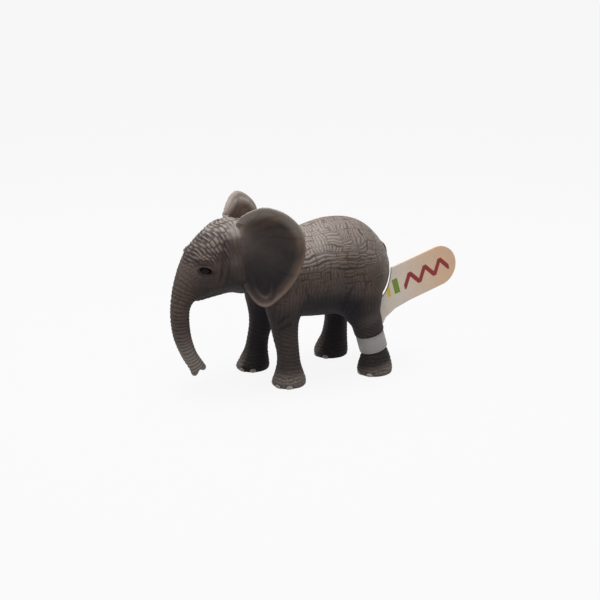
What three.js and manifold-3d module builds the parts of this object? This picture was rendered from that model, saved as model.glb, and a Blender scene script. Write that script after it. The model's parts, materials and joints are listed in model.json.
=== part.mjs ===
// A toy elephant calf in soft vinyl, moulded in pieces that plug together, with a card tag looped round one shin.
// Millimetres, +Z up, the head towards -X and the left flank towards -Y. The four soles stand on z = 0.
import * as THREE from "three";
import { mergeVertices } from "three/addons/utils/BufferGeometryUtils.js";
import Module from "manifold-3d";

const wasm = await Module();
wasm.setup();

// Barrel of the body
const backHeight = 49.2;
const bodyLength = 52;
const bodyWidth = 29;
const rumpBehind = 25; // from the middle of the four feet to the rump

// Head and trunk
const skullAhead = 16; // where the back of the head begins, in front of the middle
const headLength = 30.5; // from there to the front of the trunk
const headWidth = 19.5;
const crownHeight = 52.7;
const jawWidth = 9;
const browRadius = 2.6;
const browFlatShare = 0.7;
const fingerRadius = 1.2; // the two finger tips at the end of the trunk
const fingerApart = 2.7;
const tipTurn = 0.46; // radians the tip of the trunk points back from straight down
const eyeRadius = 1.25;
const eyeClearance = 0.15;
const neckLean = 0.26; // radians the neck joint leans forward going down

// Ears
const earHeight = 29.5;
const earWidth = 20.3;
const earThickness = 1.5;
const earThinningShare = 0.35; // how much thinner the ear is at its rim
const earFlare = 0.37; // radians out from the flank
const earCupDepth = 1.7; // how deep the ear is dished
const earCurlDepth = 1.1; // how far its rim turns out again
const earTuckDepth = 6; // how far the top of its root follows the skull inwards
const earRootAhead = 29.4;
const earRootOut = 9.6;
const earMiddleHeight = 42.7;

// Legs
const hipHeight = 36;
const frontHip = { fromRump: 38.7, out: 8 };
const hindHip = { fromRump: 13, out: 9 };
const frontLegThickness = 7.4;
const hindLegThickness = 8;
const toeRadius = 1.4;
const toeHeight = 1.1;
const toeDepth = 0.35; // how proud a toenail stands
const shinRadius = 3.75; // the round part of the shin that carries the tag
const shinHeight = 10.9;
const shinLength = 6.6;
const shinLean = 0.28; // radians the shin leans back going down
const hipRise = 0.68; // radians the joint of a leg rises towards the flank

// Where each foot stands: from the rump and out from the middle plane, and how far the shin bows backwards
const footPlaces = {
  front_left: { fromRump: 37, out: 8.5, bowDepth: 0 },
  front_right: { fromRump: 41.4, out: 9.4, bowDepth: 1.2 },
  hind_left: { fromRump: 8.2, out: 10.8, bowDepth: 0 },
  hind_right: { fromRump: 13.3, out: 9.9, bowDepth: 1.5 },
};

// Tail
const tailLength = 19;
const tailThickness = 2.8;
const tailRootHeight = 38.4;

// Glued plug joints between the mouldings
const seamClearance = 0.3; // clearance all round a joint
const neckPlugRadius = 4.5;
const neckPlugLength = 5;
const legPlugRadius = 2;
const legPlugLength = 4;
const earPlugRadius = 1;
const earPlugLength = 3.6;
const tailPlugRadius = 0.8;
const tailPlugLength = 2.6;

// The card tag
const bandHeight = 5.6;
const bandClearance = 0.35; // between the shin and the loop
const bandThickness = 0.4;
const paddleWidth = 13.2;
const paddleLength = 37.7; // from the middle of the shin to the round end
const paddleThickness = 0.6;

// How finely the round forms are cut, and how far a cutting block runs past what it cuts
const torsoSides = 32;
const torsoSteps = 24;
const headSides = 26;
const headSteps = 34;
const jawSteps = 8;
const legSides = 20;
const legSteps = 20;
const tailSteps = 18;
const earSides = 34;
const plugSides = 16;
const bandSides = 32;
const fineness = 0.03; // forms smaller than this are left out
const overrun = 70;

const skin = new THREE.MeshStandardMaterial({ color: 0x5f554d, roughness: 0.62, metalness: 0 });
const gloss = new THREE.MeshStandardMaterial({ color: 0x0d0b0c, roughness: 0.12, metalness: 0 });
const card = new THREE.MeshStandardMaterial({ color: 0xe4dfd6, roughness: 0.7, metalness: 0 });

const at = (x, y, z) => new THREE.Vector3(x, y, z);
const up = at(0, 0, 1);

// Turns a closed geometry into a solid that can be joined and cut.
function solid(geometry) {
  const bare = geometry.index ? geometry.toNonIndexed() : geometry.clone();
  bare.deleteAttribute("normal");
  bare.deleteAttribute("uv");
  const merged = mergeVertices(bare);
  return new wasm.Manifold(
    new wasm.Mesh({
      numProp: 3,
      vertProperties: merged.attributes.position.array,
      triVerts: new Uint32Array(merged.index.array),
    }),
  );
}

const join = (...solids) => solids.reduce((whole, piece) => whole.add(piece));
const cut = (whole, ...tools) => tools.reduce((left, tool) => left.subtract(tool), whole);

// The largest piece of a solid, without the crumbs that a cut may leave.
function largest(whole) {
  return whole.decompose().reduce((best, piece) => (piece.volume() > best.volume() ? piece : best));
}

// A closed skin through oval sections. Each station has a front and a back point in the plane of the limb and a half
// width across it. grow makes the skin that much larger all round.
function loft(stations, sides, steps, grow = 0) {
  const fronts = new THREE.CatmullRomCurve3(stations.map((station) => station.front));
  const backs = new THREE.CatmullRomCurve3(stations.map((station) => station.back));
  const wides = new THREE.CatmullRomCurve3(stations.map((station) => at(station.wide, 0, 0)));
  const ring = (share) => {
    const front = fronts.getPoint(share);
    const back = backs.getPoint(share);
    return {
      centre: front.clone().lerp(back, 0.5),
      half: front.distanceTo(back) / 2 + grow,
      through: front.sub(back).normalize(),
      wide: wides.getPoint(share).x + grow,
    };
  };
  const start = ring(0);
  const end = ring(1);
  const onward = ring(0.5).centre.sub(start.centre);
  const turned = onward.dot(at(0, 1, 0).cross(start.through)) < 0 ? -1 : 1;
  const points = [];
  const faces = [];
  for (let i = 0; i <= steps; i += 1) {
    const { centre, half, through, wide } = ring(i / steps);
    for (let k = 0; k < sides; k += 1) {
      const turn = (2 * Math.PI * k) / sides;
      const point = centre.clone().addScaledVector(through, half * Math.sin(turn));
      point.y += turned * wide * Math.cos(turn);
      points.push(point);
    }
  }
  for (let i = 0; i < steps; i += 1) {
    for (let k = 0; k < sides; k += 1) {
      const here = i * sides + k;
      const next = i * sides + ((k + 1) % sides);
      faces.push(here, next, here + sides, next, next + sides, here + sides);
    }
  }
  const first = points.push(start.centre) - 1;
  const last = points.push(end.centre) - 1;
  for (let k = 0; k < sides; k += 1) {
    const next = (k + 1) % sides;
    faces.push(first, next, k, last, steps * sides + k, steps * sides + next);
  }
  const geometry = new THREE.BufferGeometry().setFromPoints(points);
  geometry.setIndex(faces);
  return solid(geometry);
}

// A ball, stretched along X, Y and Z.
function oval(centre, x, y, z) {
  const ball = new THREE.SphereGeometry(1, plugSides, plugSides / 2);
  ball.scale(x, y, z).translate(centre.x, centre.y, centre.z);
  return solid(ball);
}

// Turns a geometry built up along +Z onto a direction and moves it to a point.
function stand(geometry, point, direction) {
  geometry.applyQuaternion(new THREE.Quaternion().setFromUnitVectors(up, direction.clone().normalize()));
  return geometry.translate(point.x, point.y, point.z);
}

// A round rod from one point along a direction.
function rod(start, direction, radius, length, sides = plugSides) {
  const bar = new THREE.CylinderGeometry(radius, radius, length, sides);
  bar.rotateX(Math.PI / 2).translate(0, 0, length / 2);
  return solid(stand(bar, start, direction));
}

// Everything on the side of a plane that its direction points to.
function halfSpace(point, direction) {
  const block = new THREE.BoxGeometry(2 * overrun, 2 * overrun, overrun);
  return solid(stand(block.translate(0, 0, overrun / 2), point, direction));
}

// Body sections as shares: the top point along from the rump and its height, the bottom point, the half width
const torsoShares = [
  [0.002, 0.703, 0.002, 0.63, 0.15],
  [0.017, 0.778, 0.012, 0.539, 0.43],
  [0.06, 0.86, 0.046, 0.457, 0.64],
  [0.138, 0.941, 0.119, 0.402, 0.83],
  [0.25, 0.992, 0.235, 0.38, 0.96],
  [0.385, 1, 0.377, 0.372, 1],
  [0.538, 0.963, 0.538, 0.382, 0.97],
  [0.683, 0.937, 0.692, 0.407, 0.88],
  [0.798, 0.939, 0.782, 0.466, 0.76],
  [0.894, 0.951, 0.862, 0.56, 0.63],
  [1, 0.935, 0.952, 0.64, 0.52],
];

function torsoStations() {
  const place = (along, high) => at(rumpBehind - along * bodyLength, 0, high * backHeight);
  return torsoShares.map(([topAlong, top, bottomAlong, bottom, wide]) => ({
    front: place(topAlong, top),
    back: place(bottomAlong, bottom),
    wide: (wide * bodyWidth) / 2,
  }));
}

// Head and trunk sections as shares: the front point ahead and its height, the back point, the half width
const headShares = [
  [0, 0.863, 0.049, 0.569, 0.759],
  [0.197, 0.972, 0.18, 0.569, 0.923],
  [0.361, 1, 0.328, 0.575, 1],
  [0.551, 0.968, 0.475, 0.573, 0.985],
  [0.728, 0.89, 0.597, 0.569, 0.892],
  [0.852, 0.787, 0.708, 0.558, 0.718],
  [0.934, 0.674, 0.78, 0.543, 0.523],
  [0.984, 0.556, 0.816, 0.505, 0.39],
  [1, 0.442, 0.823, 0.417, 0.328],
  [0.974, 0.326, 0.803, 0.321, 0.297],
  [0.898, 0.209, 0.754, 0.231, 0.256],
  [0.807, 0.112, 0.672, 0.154, 0.221],
];
// The lower jaw in the same shares, with its own half width
const jawShares = [
  [0.279, 0.683, 0.279, 0.584, 1],
  [0.505, 0.645, 0.505, 0.56, 0.9],
  [0.656, 0.626, 0.656, 0.546, 0.68],
  [0.751, 0.607, 0.751, 0.537, 0.42],
  [0.787, 0.588, 0.787, 0.548, 0.2],
];

function headStations(shares, width) {
  const place = (ahead, high) => at(-skullAhead - ahead * headLength, 0, high * crownHeight);
  return shares.map(([frontAhead, front, backAhead, back, wide]) => ({
    front: place(frontAhead, front),
    back: place(backAhead, back),
    wide: (wide * width) / 2,
  }));
}

const onHead = (ahead, out, high, side) =>
  at(-skullAhead - ahead * headLength, (side * out * headWidth) / 2, high * crownHeight);

// Leg sections from the sole up as shares: height, how far towards the hip, half length, half width, bow of the shin
const frontLegShares = [
  [0, 0, 1.38, 1.26, 0],
  [0.04, 0, 1.44, 1.3, 0],
  [0.11, 0.02, 1.27, 1.17, 0.3],
  [0.19, 0.06, 1.05, 1.03, 0.8],
  [0.3, 0.2, 0.98, 0.98, 1],
  [0.43, 0.6, 1.12, 1.08, 0.9],
  [0.56, 0.85, 1.3, 1.2, 0.4],
  [0.75, 0.98, 1.65, 1.36, 0],
  [1, 1, 1.85, 1.38, 0],
  [1.13, 1, 1.4, 0.55, 0],
];
const hindLegShares = [
  [0, 0, 1.38, 1.22, 0],
  [0.04, 0, 1.44, 1.27, 0],
  [0.11, 0, 1.36, 1.18, 0.2],
  [0.19, 0, 1.14, 1.02, 0.8],
  [0.303, 0.25, 1, 0.98, 1],
  [0.395, 0.48, 1, 0.98, 1],
  [0.48, 0.74, 1.4, 1.12, 0.7],
  [0.6, 0.98, 1.8, 1.34, 0.3],
  [0.78, 1.05, 2.1, 1.42, 0],
  [1, 1, 2.1, 1.34, 0],
  [1.13, 1, 1.6, 0.55, 0],
];

function legStations(name) {
  const foot = footPlaces[name];
  const front = name.startsWith("front");
  const hip = front ? frontHip : hindHip;
  const half = (front ? frontLegThickness : hindLegThickness) / 2;
  const side = name.endsWith("left") ? -1 : 1;
  return (front ? frontLegShares : hindLegShares).map(([high, toward, long, wide, bow]) => {
    const fromRump = foot.fromRump + toward * (hip.fromRump - foot.fromRump) - bow * foot.bowDepth;
    const x = rumpBehind - fromRump;
    const y = side * (foot.out + toward * (hip.out - foot.out));
    return {
      front: at(x - long * half, y, high * hipHeight),
      back: at(x + long * half, y, high * hipHeight),
      wide: wide * half,
    };
  });
}

// The middle of the shin that carries the tag, and the direction of that shin
const tagSide = -1;
const shinShare = 0.235; // how far towards the hip it is there
const shinCentre = at(
  rumpBehind - footPlaces.hind_left.fromRump - shinShare * (hindHip.fromRump - footPlaces.hind_left.fromRump),
  tagSide * (footPlaces.hind_left.out + shinShare * (hindHip.out - footPlaces.hind_left.out)),
  shinHeight,
);
const shinDirection = at(-Math.sin(shinLean), 0, Math.cos(shinLean));

// The joint of a leg: a plane that rises towards the flank, and a plug that stands on it
const hipJointShare = 0.56; // height of the joint in the middle of the leg
function hipJoint(name) {
  const front = name.startsWith("front");
  const hip = front ? frontHip : hindHip;
  const side = name.endsWith("left") ? -1 : 1;
  return {
    point: at(rumpBehind - hip.fromRump, side * hip.out, hipJointShare * hipHeight),
    direction: at(0, -side * Math.sin(hipRise), Math.cos(hipRise)),
  };
}

// Toenails round the front of a foot, as turns from straight ahead
const frontToeTurns = [-1.15, -0.4, 0.4, 1.15];
const hindToeTurns = [-0.8, 0, 0.8];
const toeHeightShare = 0.036;
function toes(name) {
  const foot = footPlaces[name];
  const front = name.startsWith("front");
  const half = (front ? frontLegThickness : hindLegThickness) / 2;
  const [, , long, wide] = (front ? frontLegShares : hindLegShares)[1];
  const side = name.endsWith("left") ? -1 : 1;
  return (front ? frontToeTurns : hindToeTurns).map((turn) => {
    const middle = at(
      rumpBehind - foot.fromRump - (long * half - toeRadius + toeDepth) * Math.cos(turn),
      side * foot.out + (wide * half - toeRadius + toeDepth) * Math.sin(turn),
      toeHeightShare * hipHeight,
    );
    return oval(middle, toeRadius, toeRadius, toeHeight);
  });
}

const ground = halfSpace(at(0, 0, 0), at(0, 0, -1));
const torsoSkin = loft(torsoStations(), torsoSides, torsoSteps);
const headSkin = loft(headStations(headShares, headWidth), headSides, headSteps);
const legNames = Object.keys(footPlaces);
const legSkins = Object.fromEntries(legNames.map((name) => [name, loft(legStations(name), legSides, legSteps)]));
const made = {};

// Head: the skull and trunk with the jaw, the brows and the finger tips of the trunk
const browPlaceShares = [0.71, 0.5, 0.803];
const tipPlaceShares = [0.744, 0, 0.133];
const headForms = [headSkin, loft(headStations(jawShares, jawWidth), plugSides, jawSteps)];
const tip = onHead(...tipPlaceShares, 1).add(
  at(Math.sin(tipTurn), 0, -Math.cos(tipTurn)).multiplyScalar(fingerRadius / 2),
);
const acrossTip = at(Math.cos(tipTurn), 0, Math.sin(tipTurn));
for (const side of [-1, 1]) {
  const finger = tip.clone().addScaledVector(acrossTip, (side * fingerApart) / 2);
  headForms.push(oval(onHead(...browPlaceShares, side), browRadius, browRadius, browFlatShare * browRadius));
  headForms.push(oval(finger, fingerRadius, fingerRadius, fingerRadius));
}
const headWhole = join(...headForms);

// Neck joint: one plane across both skins, with a plug from the head into the body
const neckPlaceShares = [0.184, 0, 0.759];
const neckPoint = onHead(...neckPlaceShares, 1);
const neckBack = at(Math.cos(neckLean), 0, -Math.sin(neckLean));
const neckPlug = rod(neckPoint, neckBack, neckPlugRadius, neckPlugLength);
const neckSocket = rod(neckPoint, neckBack, neckPlugRadius + seamClearance, neckPlugLength + seamClearance);
const behindNeck = halfSpace(neckPoint, neckBack);
const aheadOfNeck = halfSpace(neckPoint.clone().addScaledVector(neckBack, seamClearance), neckBack.clone().negate());
made.head = join(cut(headWhole, behindNeck), neckPlug);

// Legs, each cut off on the plane of its joint, and the sockets that they leave in the body
const sockets = [];
for (const name of legNames) {
  const { point, direction } = hipJoint(name);
  let leg = join(legSkins[name], ...toes(name));
  if (name === "hind_left") {
    const start = shinCentre.clone().addScaledVector(shinDirection, -shinLength / 2);
    const below = start.clone().addScaledVector(shinDirection, -shinLength);
    const shin = rod(below, shinDirection, shinRadius, 3 * shinLength, bandSides);
    leg = cut(leg, cut(rod(start, shinDirection, 2 * shinRadius, shinLength, bandSides), shin));
  }
  leg = cut(leg, ground, halfSpace(point, direction));
  const inset = point.clone().addScaledVector(direction, -legPlugRadius);
  made[`${name}_leg`] = leg.add(rod(inset, direction, legPlugRadius, legPlugLength + legPlugRadius));
  sockets.push(rod(inset, direction, legPlugRadius + seamClearance, legPlugLength + legPlugRadius + seamClearance));
  const beyond = point.clone().addScaledVector(direction, seamClearance);
  sockets.push(cut(loft(legStations(name), legSides, legSteps, seamClearance), halfSpace(beyond, direction)));
}

// Tail: a stem with a tuft, hanging a little to the right. Shares of its length back, aside and down, then half its
// thickness
const tailShares = [
  [0, 0, -0.02, 0.5],
  [0.085, 0.015, 0.06, 0.45],
  [0.135, 0.06, 0.19, 0.38],
  [0.145, 0.13, 0.41, 0.3],
  [0.125, 0.2, 0.63, 0.27],
  [0.105, 0.24, 0.77, 0.42],
  [0.085, 0.28, 0.89, 0.48],
  [0.06, 0.31, 1, 0.16],
];
const tailDropStation = 3; // the station from which the tail hangs straight down
const tailRoot = at(rumpBehind - tailThickness / 2, 0, tailRootHeight);
function tailStations() {
  return tailShares.map(([behind, aside, down, half], station) => {
    const level = Math.min(1, station / tailDropStation);
    const centre = tailRoot.clone().add(at(behind * tailLength, aside * tailLength, -down * tailLength));
    const through = at(level, 0, 1 - level).normalize().multiplyScalar(half * tailThickness);
    return { front: centre.clone().sub(through), back: centre.clone().add(through), wide: half * tailThickness };
  });
}
const tailWay = at(-1, 0, 0);
const tailPlugStart = tailRoot.clone().addScaledVector(tailWay, -tailThickness / 2);
const tailPlug = rod(tailPlugStart, tailWay, tailPlugRadius, tailPlugLength + tailThickness);
const tailSocket = rod(tailPlugStart, tailWay, tailPlugRadius + seamClearance, tailPlugLength + tailThickness + seamClearance);
const torsoGrown = loft(torsoStations(), torsoSides, torsoSteps, seamClearance);
made.tail = largest(cut(loft(tailStations(), plugSides, tailSteps), torsoGrown)).add(tailPlug);

// Body: the barrel joined to the tops of the legs, cut back for the legs, the head and the tail
const bodyWhole = join(torsoSkin, headSkin, ...Object.values(legSkins));
made.torso = largest(cut(bodyWhole, aheadOfNeck, neckSocket, ...sockets, tailSocket));

// Outline of an ear as shares: out from the root, and up from the middle
const earShares = [
  [0, 0.155],
  [0.02, 0.325],
  [0.165, 0.425],
  [0.42, 0.5],
  [0.656, 0.47],
  [0.84, 0.38],
  [0.97, 0.262],
  [1, 0.12],
  [0.975, -0.04],
  [0.83, -0.25],
  [0.62, -0.412],
  [0.406, -0.5],
  [0.22, -0.406],
  [0.03, -0.137],
];
const earRingShares = [0.3, 0.55, 0.75, 0.88, 0.96, 1];
const earMiddleShares = [0.45, 0.02];
const curlStartShare = 0.78; // of the way from the middle to the rim, where the rim begins to turn out
const tuckEndShare = 0.4; // of the height above the middle, where the root is fully tucked in

// A point of the left ear: shares out from the root, up from the middle and of the way to the rim. face is 1 on the
// outer face, -1 on the inner face and 0 half way through the ear.
const earRoot = at(-earRootAhead, -earRootOut, earMiddleHeight);
const earAway = at(Math.cos(earFlare), -Math.sin(earFlare), 0);
const earOutward = at(-Math.sin(earFlare), -Math.cos(earFlare), 0);
function earPoint(out, high, share, face) {
  const curl = Math.max(0, (share - curlStartShare) / (1 - curlStartShare));
  const tuck = (1 - out) * (1 - out) * THREE.MathUtils.smoothstep(high, 0, tuckEndShare);
  const depth = earCupDepth * (share * share - 1) + earCurlDepth * curl * curl - earTuckDepth * tuck;
  const half = (face * earThickness * (1 - earThinningShare * share)) / 2;
  return earRoot.clone().addScaledVector(earAway, out * earWidth).addScaledVector(up, high * earHeight)
    .addScaledVector(earOutward, depth + half);
}

// A dished plate: rings of points from the middle to the outline, on the outer and on the inner face.
function earSkin() {
  const outline = new THREE.CatmullRomCurve3(earShares.map(([out, high]) => at(out, high, 0)), true);
  const edge = outline.getPoints(earSides).slice(0, -1);
  const [middleOut, middleHigh] = earMiddleShares;
  const points = [];
  const faces = [];
  for (const face of [1, -1]) {
    const base = points.push(earPoint(middleOut, middleHigh, 0, face)) - 1;
    for (const share of earRingShares) {
      for (const { x, y } of edge) {
        const out = middleOut + share * (x - middleOut);
        points.push(earPoint(out, middleHigh + share * (y - middleHigh), share, face));
      }
    }
    const push = (a, b, c) => (face > 0 ? faces.push(a, b, c) : faces.push(a, c, b));
    for (let k = 0; k < earSides; k += 1) {
      const next = (k + 1) % earSides;
      push(base, base + 1 + next, base + 1 + k);
      for (let i = 1; i < earRingShares.length; i += 1) {
        const inner = base + 1 + (i - 1) * earSides;
        const outer = inner + earSides;
        push(inner + k, inner + next, outer + k);
        push(inner + next, outer + next, outer + k);
      }
    }
  }
  const outerRim = 1 + (earRingShares.length - 1) * earSides;
  const innerRim = outerRim + 1 + earRingShares.length * earSides;
  for (let k = 0; k < earSides; k += 1) {
    const next = (k + 1) % earSides;
    faces.push(outerRim + k, outerRim + next, innerRim + k, outerRim + next, innerRim + next, innerRim + k);
  }
  const geometry = new THREE.BufferGeometry().setFromPoints(points);
  geometry.setIndex(faces);
  return solid(geometry);
}

// Ears, made on the left and mirrored, each with a plug from the middle of its thickness into the skull
const earPlugShares = [0.12, 0.1, 0.73]; // out, up, and of the way to the rim
const plugStart = earPoint(...earPlugShares, 0);
const inward = earOutward.clone().negate();
const earPlug = rod(plugStart, inward, earPlugRadius, earPlugLength);
const earSocket = rod(plugStart, inward, earPlugRadius + seamClearance, earPlugLength + seamClearance);
const mirror = (piece) => piece.mirror([0, 1, 0]);
const headGrown = loft(headStations(headShares, headWidth), headSides, headSteps, seamClearance);
const frontLegsGrown = legNames.filter((name) => name.startsWith("front")).map((name) =>
  loft(legStations(name), legSides, legSteps, seamClearance));
const trimmed = (ear) => largest(cut(ear, headGrown, torsoGrown, ...frontLegsGrown));
const leftEar = earSkin();
made.left_ear = trimmed(leftEar).add(earPlug);
made.right_ear = trimmed(mirror(leftEar)).add(mirror(earPlug));
made.head = cut(made.head, earSocket, mirror(earSocket));

// Eyes: beads in their sockets
const eyePlaceShares = [0.708, 0.7, 0.746];
for (const [name, side] of [["left_eye", -1], ["right_eye", 1]]) {
  const middle = onHead(...eyePlaceShares, side);
  const room = eyeRadius + eyeClearance;
  made[name] = oval(middle, eyeRadius, eyeRadius, eyeRadius);
  made.head = cut(made.head, oval(middle, room, room, room));
}
made.head = largest(made.head);

// Outline of the flat part of the tag as shares: back from the shin by its length, and up by its width
const paddleShares = [
  [0, -0.21],
  [0.09, -0.18],
  [0.16, 0.02],
  [0.225, 0.22],
  [0.33, 0.33],
  [0.48, 0.37],
];
const paddleTopShares = [
  [0.33, 1.37],
  [0.31, 1.15],
  [0.27, 0.97],
  [0.21, 0.82],
  [0.15, 0.68],
  [0.13, 0.58],
  [0.13, 0.42],
  [0.1, 0.21],
  [0, 0.21],
];
const paddleMiddleShare = 0.87; // up from the shin's middle to the middle of the round end

// The tag as it lies about the origin: the loop round +Z, with the flat part touching it on the inner side.
function tagSolid() {
  const inner = shinRadius + bandClearance;
  const outer = inner + bandThickness;
  const ring = cut(
    rod(at(0, 0, -bandHeight / 2), up, outer, bandHeight, bandSides),
    rod(at(0, 0, -bandHeight), up, inner, 2 * bandHeight, bandSides),
  );
  const outline = new THREE.Shape();
  const spot = ([along, high]) => new THREE.Vector2(along * paddleLength, high * paddleWidth);
  const half = paddleWidth / 2;
  outline.setFromPoints(paddleShares.map(spot));
  outline.absarc(paddleLength - half, paddleMiddleShare * paddleWidth, half, -Math.PI / 2, Math.PI / 2, false);
  for (const { x, y } of paddleTopShares.map(spot)) outline.lineTo(x, y);
  const settings = { depth: paddleThickness, bevelEnabled: false, curveSegments: plugSides };
  const plate = new THREE.ExtrudeGeometry(outline, settings);
  plate.rotateX(Math.PI / 2).translate(0, outer, 0);
  return join(ring, solid(plate));
}
const tagBasis = new THREE.Matrix4().makeBasis(
  at(Math.cos(shinLean), 0, Math.sin(shinLean)),
  at(0, 1, 0),
  shinDirection,
);
made.tag = largest(cut(
  tagSolid().transform(tagBasis.setPosition(shinCentre).elements),
  torsoGrown,
  torsoGrown.translate([seamClearance, 0, 0]),
));

// The finished group, with the middle of its outline over the origin
const materials = { left_eye: gloss, right_eye: gloss, tag: card };
const figure = new THREE.Group();
for (const [name, piece] of Object.entries(made)) {
  const mesh = piece.simplify(fineness).getMesh();
  const geometry = new THREE.BufferGeometry();
  geometry.setAttribute("position", new THREE.BufferAttribute(mesh.vertProperties, mesh.numProp));
  geometry.setIndex(new THREE.BufferAttribute(mesh.triVerts, 1));
  const body = new THREE.Mesh(geometry, materials[name] ?? skin);
  body.name = name;
  figure.add(body);
}
const middle = new THREE.Box3().setFromObject(figure).getCenter(at(0, 0, 0));
for (const { geometry } of figure.children) {
  geometry.translate(-middle.x, -middle.y, 0);
  geometry.computeVertexNormals();
}

export default figure;
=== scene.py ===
"""A toy elephant calf in painted soft vinyl, with a card tag round one shin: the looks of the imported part."""

import functools
import itertools
import json
import math

import bmesh
import bpy
import numpy as np
from bpy.props import FloatProperty, FloatVectorProperty, PointerProperty
from mathutils import Matrix, Vector
from mathutils.bvhtree import BVHTree


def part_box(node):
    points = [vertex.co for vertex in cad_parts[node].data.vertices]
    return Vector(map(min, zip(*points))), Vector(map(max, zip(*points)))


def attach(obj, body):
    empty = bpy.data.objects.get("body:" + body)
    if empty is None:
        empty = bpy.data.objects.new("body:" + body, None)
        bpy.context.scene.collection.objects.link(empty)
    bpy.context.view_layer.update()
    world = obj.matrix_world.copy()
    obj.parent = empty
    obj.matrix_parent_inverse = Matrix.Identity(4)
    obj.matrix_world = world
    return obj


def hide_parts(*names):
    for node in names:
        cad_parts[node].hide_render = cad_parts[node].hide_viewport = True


bl_info = {
    "name": "Toy elephant calf",
    "version": (1, 0, 0),
    "blender": (4, 5, 0),
    "location": "View3D > Sidebar > Calf",
    "description": "Sculpts and paints a soft vinyl elephant calf and the card tag on its shin",
    "category": "Object",
}

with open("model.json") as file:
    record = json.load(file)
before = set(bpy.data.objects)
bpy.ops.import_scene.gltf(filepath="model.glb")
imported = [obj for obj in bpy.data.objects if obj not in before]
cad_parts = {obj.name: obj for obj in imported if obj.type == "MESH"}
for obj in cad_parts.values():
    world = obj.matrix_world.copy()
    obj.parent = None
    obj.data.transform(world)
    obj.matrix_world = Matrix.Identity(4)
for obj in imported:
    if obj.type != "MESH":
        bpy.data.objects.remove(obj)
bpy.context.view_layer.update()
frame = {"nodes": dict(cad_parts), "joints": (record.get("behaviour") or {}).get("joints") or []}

MM = 0.001
BODY = "figure"
SIDES = (-1.0, 1.0)
EARS = ("left_ear", "right_ear")
EYES = ("left_eye", "right_eye")
LEGS = ("front_left", "front_right", "hind_left", "hind_right")

# The joint planes of the mouldings: a point in millimetres, and the way the other moulding lies
NECK_POINT = np.array((-22.87, 0.0, 40.0))
NECK_LEAN = 0.26
NECK_WAY = np.array((math.cos(NECK_LEAN), 0.0, -math.sin(NECK_LEAN)))
HIP_HEIGHT = 20.16
HIP_RISE = 0.68
HIPS = {"front": (-14.96, 8.0), "hind": (10.74, 9.0)}
HIP_REACH = 13.0
HIP_TOP = 30.0

# The CAD's round forms in millimetres: the barrel's middle and radius, the shin, and the place of the ears
SECTION_HEIGHT = 33.0
SECTION_RADIUS = 14.5
SHIN_RADIUS = 3.75
SHIN_NEAR = 6.0
EAR_FLARE = 0.37
EAR_ROOT = np.array((-30.66, 9.6, 42.7))
EAR_SOCKET = np.array((-27.1, 7.1, 45.65))
EAR_SOCKET_RADIUS = 1.9

# How much longer, thinner and taller an eye's bead is than its ball
BEAD_SHAPE = (1.4, 0.97, 1.15, 1.0)

# The mesh that sculpting starts from, in millimetres: its grain, and how far it is grown and drawn back
SKIN_GROW = 0.22
EAR_GROW = 0.32
EAR_GRAIN = 0.36
TAIL_GRAIN = 0.24

# How far round each foot its toenails sit, in radians from straight ahead
NAIL_TURNS = {"front": (-1.2, -0.42, 0.36, 1.1), "hind": (-0.85, 0.0, 0.85)}

# The tag's shin: the joint gives its middle and its direction
TAG_JOINT = next(joint for joint in frame["joints"] if joint["name"] == "tag_turn")
SHIN_MIDDLE = np.array(TAG_JOINT["pos_m"]) / MM
SHIN_WAY = -np.array(TAG_JOINT["axis"])

# The card tag in millimetres, with the shin along Z and the flat part along X
PADDLE_PLANE = 4.5
PADDLE_THICKNESS = 0.6
BEND_START = 8.0
BEND_LENGTH = 30.0
BAND_INNER = 4.1
BAND_HEIGHT = 5.6
BAND_LAP = 0.62

# The print in millimetres, along the flat part, or up from the middle of the print
PRINT_LEVEL = 11.5
PRINT_HALF = 2.5
# Where the painted warm light grows along the flat part
WARM_LIGHT_SPAN = (10.0, 36.0)
YELLOW_BAR = (11.0, 12.2)
GREEN_BAR = (13.6, 15.6)
ZIGZAG = (17.4, 34.8)
TOOTH = 2.9
TOOTH_SLOPE = 1.5
ZIGZAG_HALF = 1.25
FIBRE = (0.2, 0.17, 0.15, 1.0)

# The photograph's camera: picture and focal length in pixels, and a pixel with its place in metres
PHOTO_PIXELS = 600.0
FOCAL_PIXELS = 1152.0
AIM_PIXEL = (312.1, 285.3)
AIM = Vector((-0.001259, 0.0, 0.028))
SENSOR_WIDTH = 36.0

# The rest of the stage, in metres
FLOOR_HALF = 4.0
LAMP_PLACE = (-0.03, 0.01, 0.36)
LAMP_AIM = (0.0, 0.0, 0.03)
LAMP_SIZE = 0.26
WHITE = (1.0, 1.0, 1.0, 1.0)

# The line from the skull down the trunk, as shares of the head's box: forward from its back, and up
SPINE_SHARES = (
    (0.06, 0.73), (0.2, 0.75), (0.353, 0.768), (0.52, 0.75), (0.667, 0.704), (0.783, 0.642),
    (0.86, 0.572), (0.902, 0.486), (0.913, 0.375), (0.891, 0.258), (0.829, 0.145), (0.743, 0.049),
)

# The ear's middle and the fold at its foot, out along the ear and up from its root, in millimetres
EAR_MIDDLE = (9.1, 0.6)
EAR_FOLD = ((4.6, -5.0), (5.6, -9.4), (7.6, -12.2), (9.6, -12.0), (10.6, -9.0), (10.4, -6.4))
EAR_SECTORS = 72


def side_of(name):
    """-1 on the left and 1 on the right."""
    return -1.0 if "left" in name else 1.0


def joint_plane(leg):
    """The point and the upward way of a leg's joint plane, which rises towards the flank."""
    x, out = HIPS[leg.split("_")[0]]
    side = side_of(leg)
    way = np.array((0.0, -side * math.sin(HIP_RISE), math.cos(HIP_RISE)))
    return np.array((x, side * out, HIP_HEIGHT)), way


def node_points(name):
    """The points of a CAD node, in millimetres."""
    return np.array([vert.co for vert in frame["nodes"][name].data.vertices]) / MM


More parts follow.
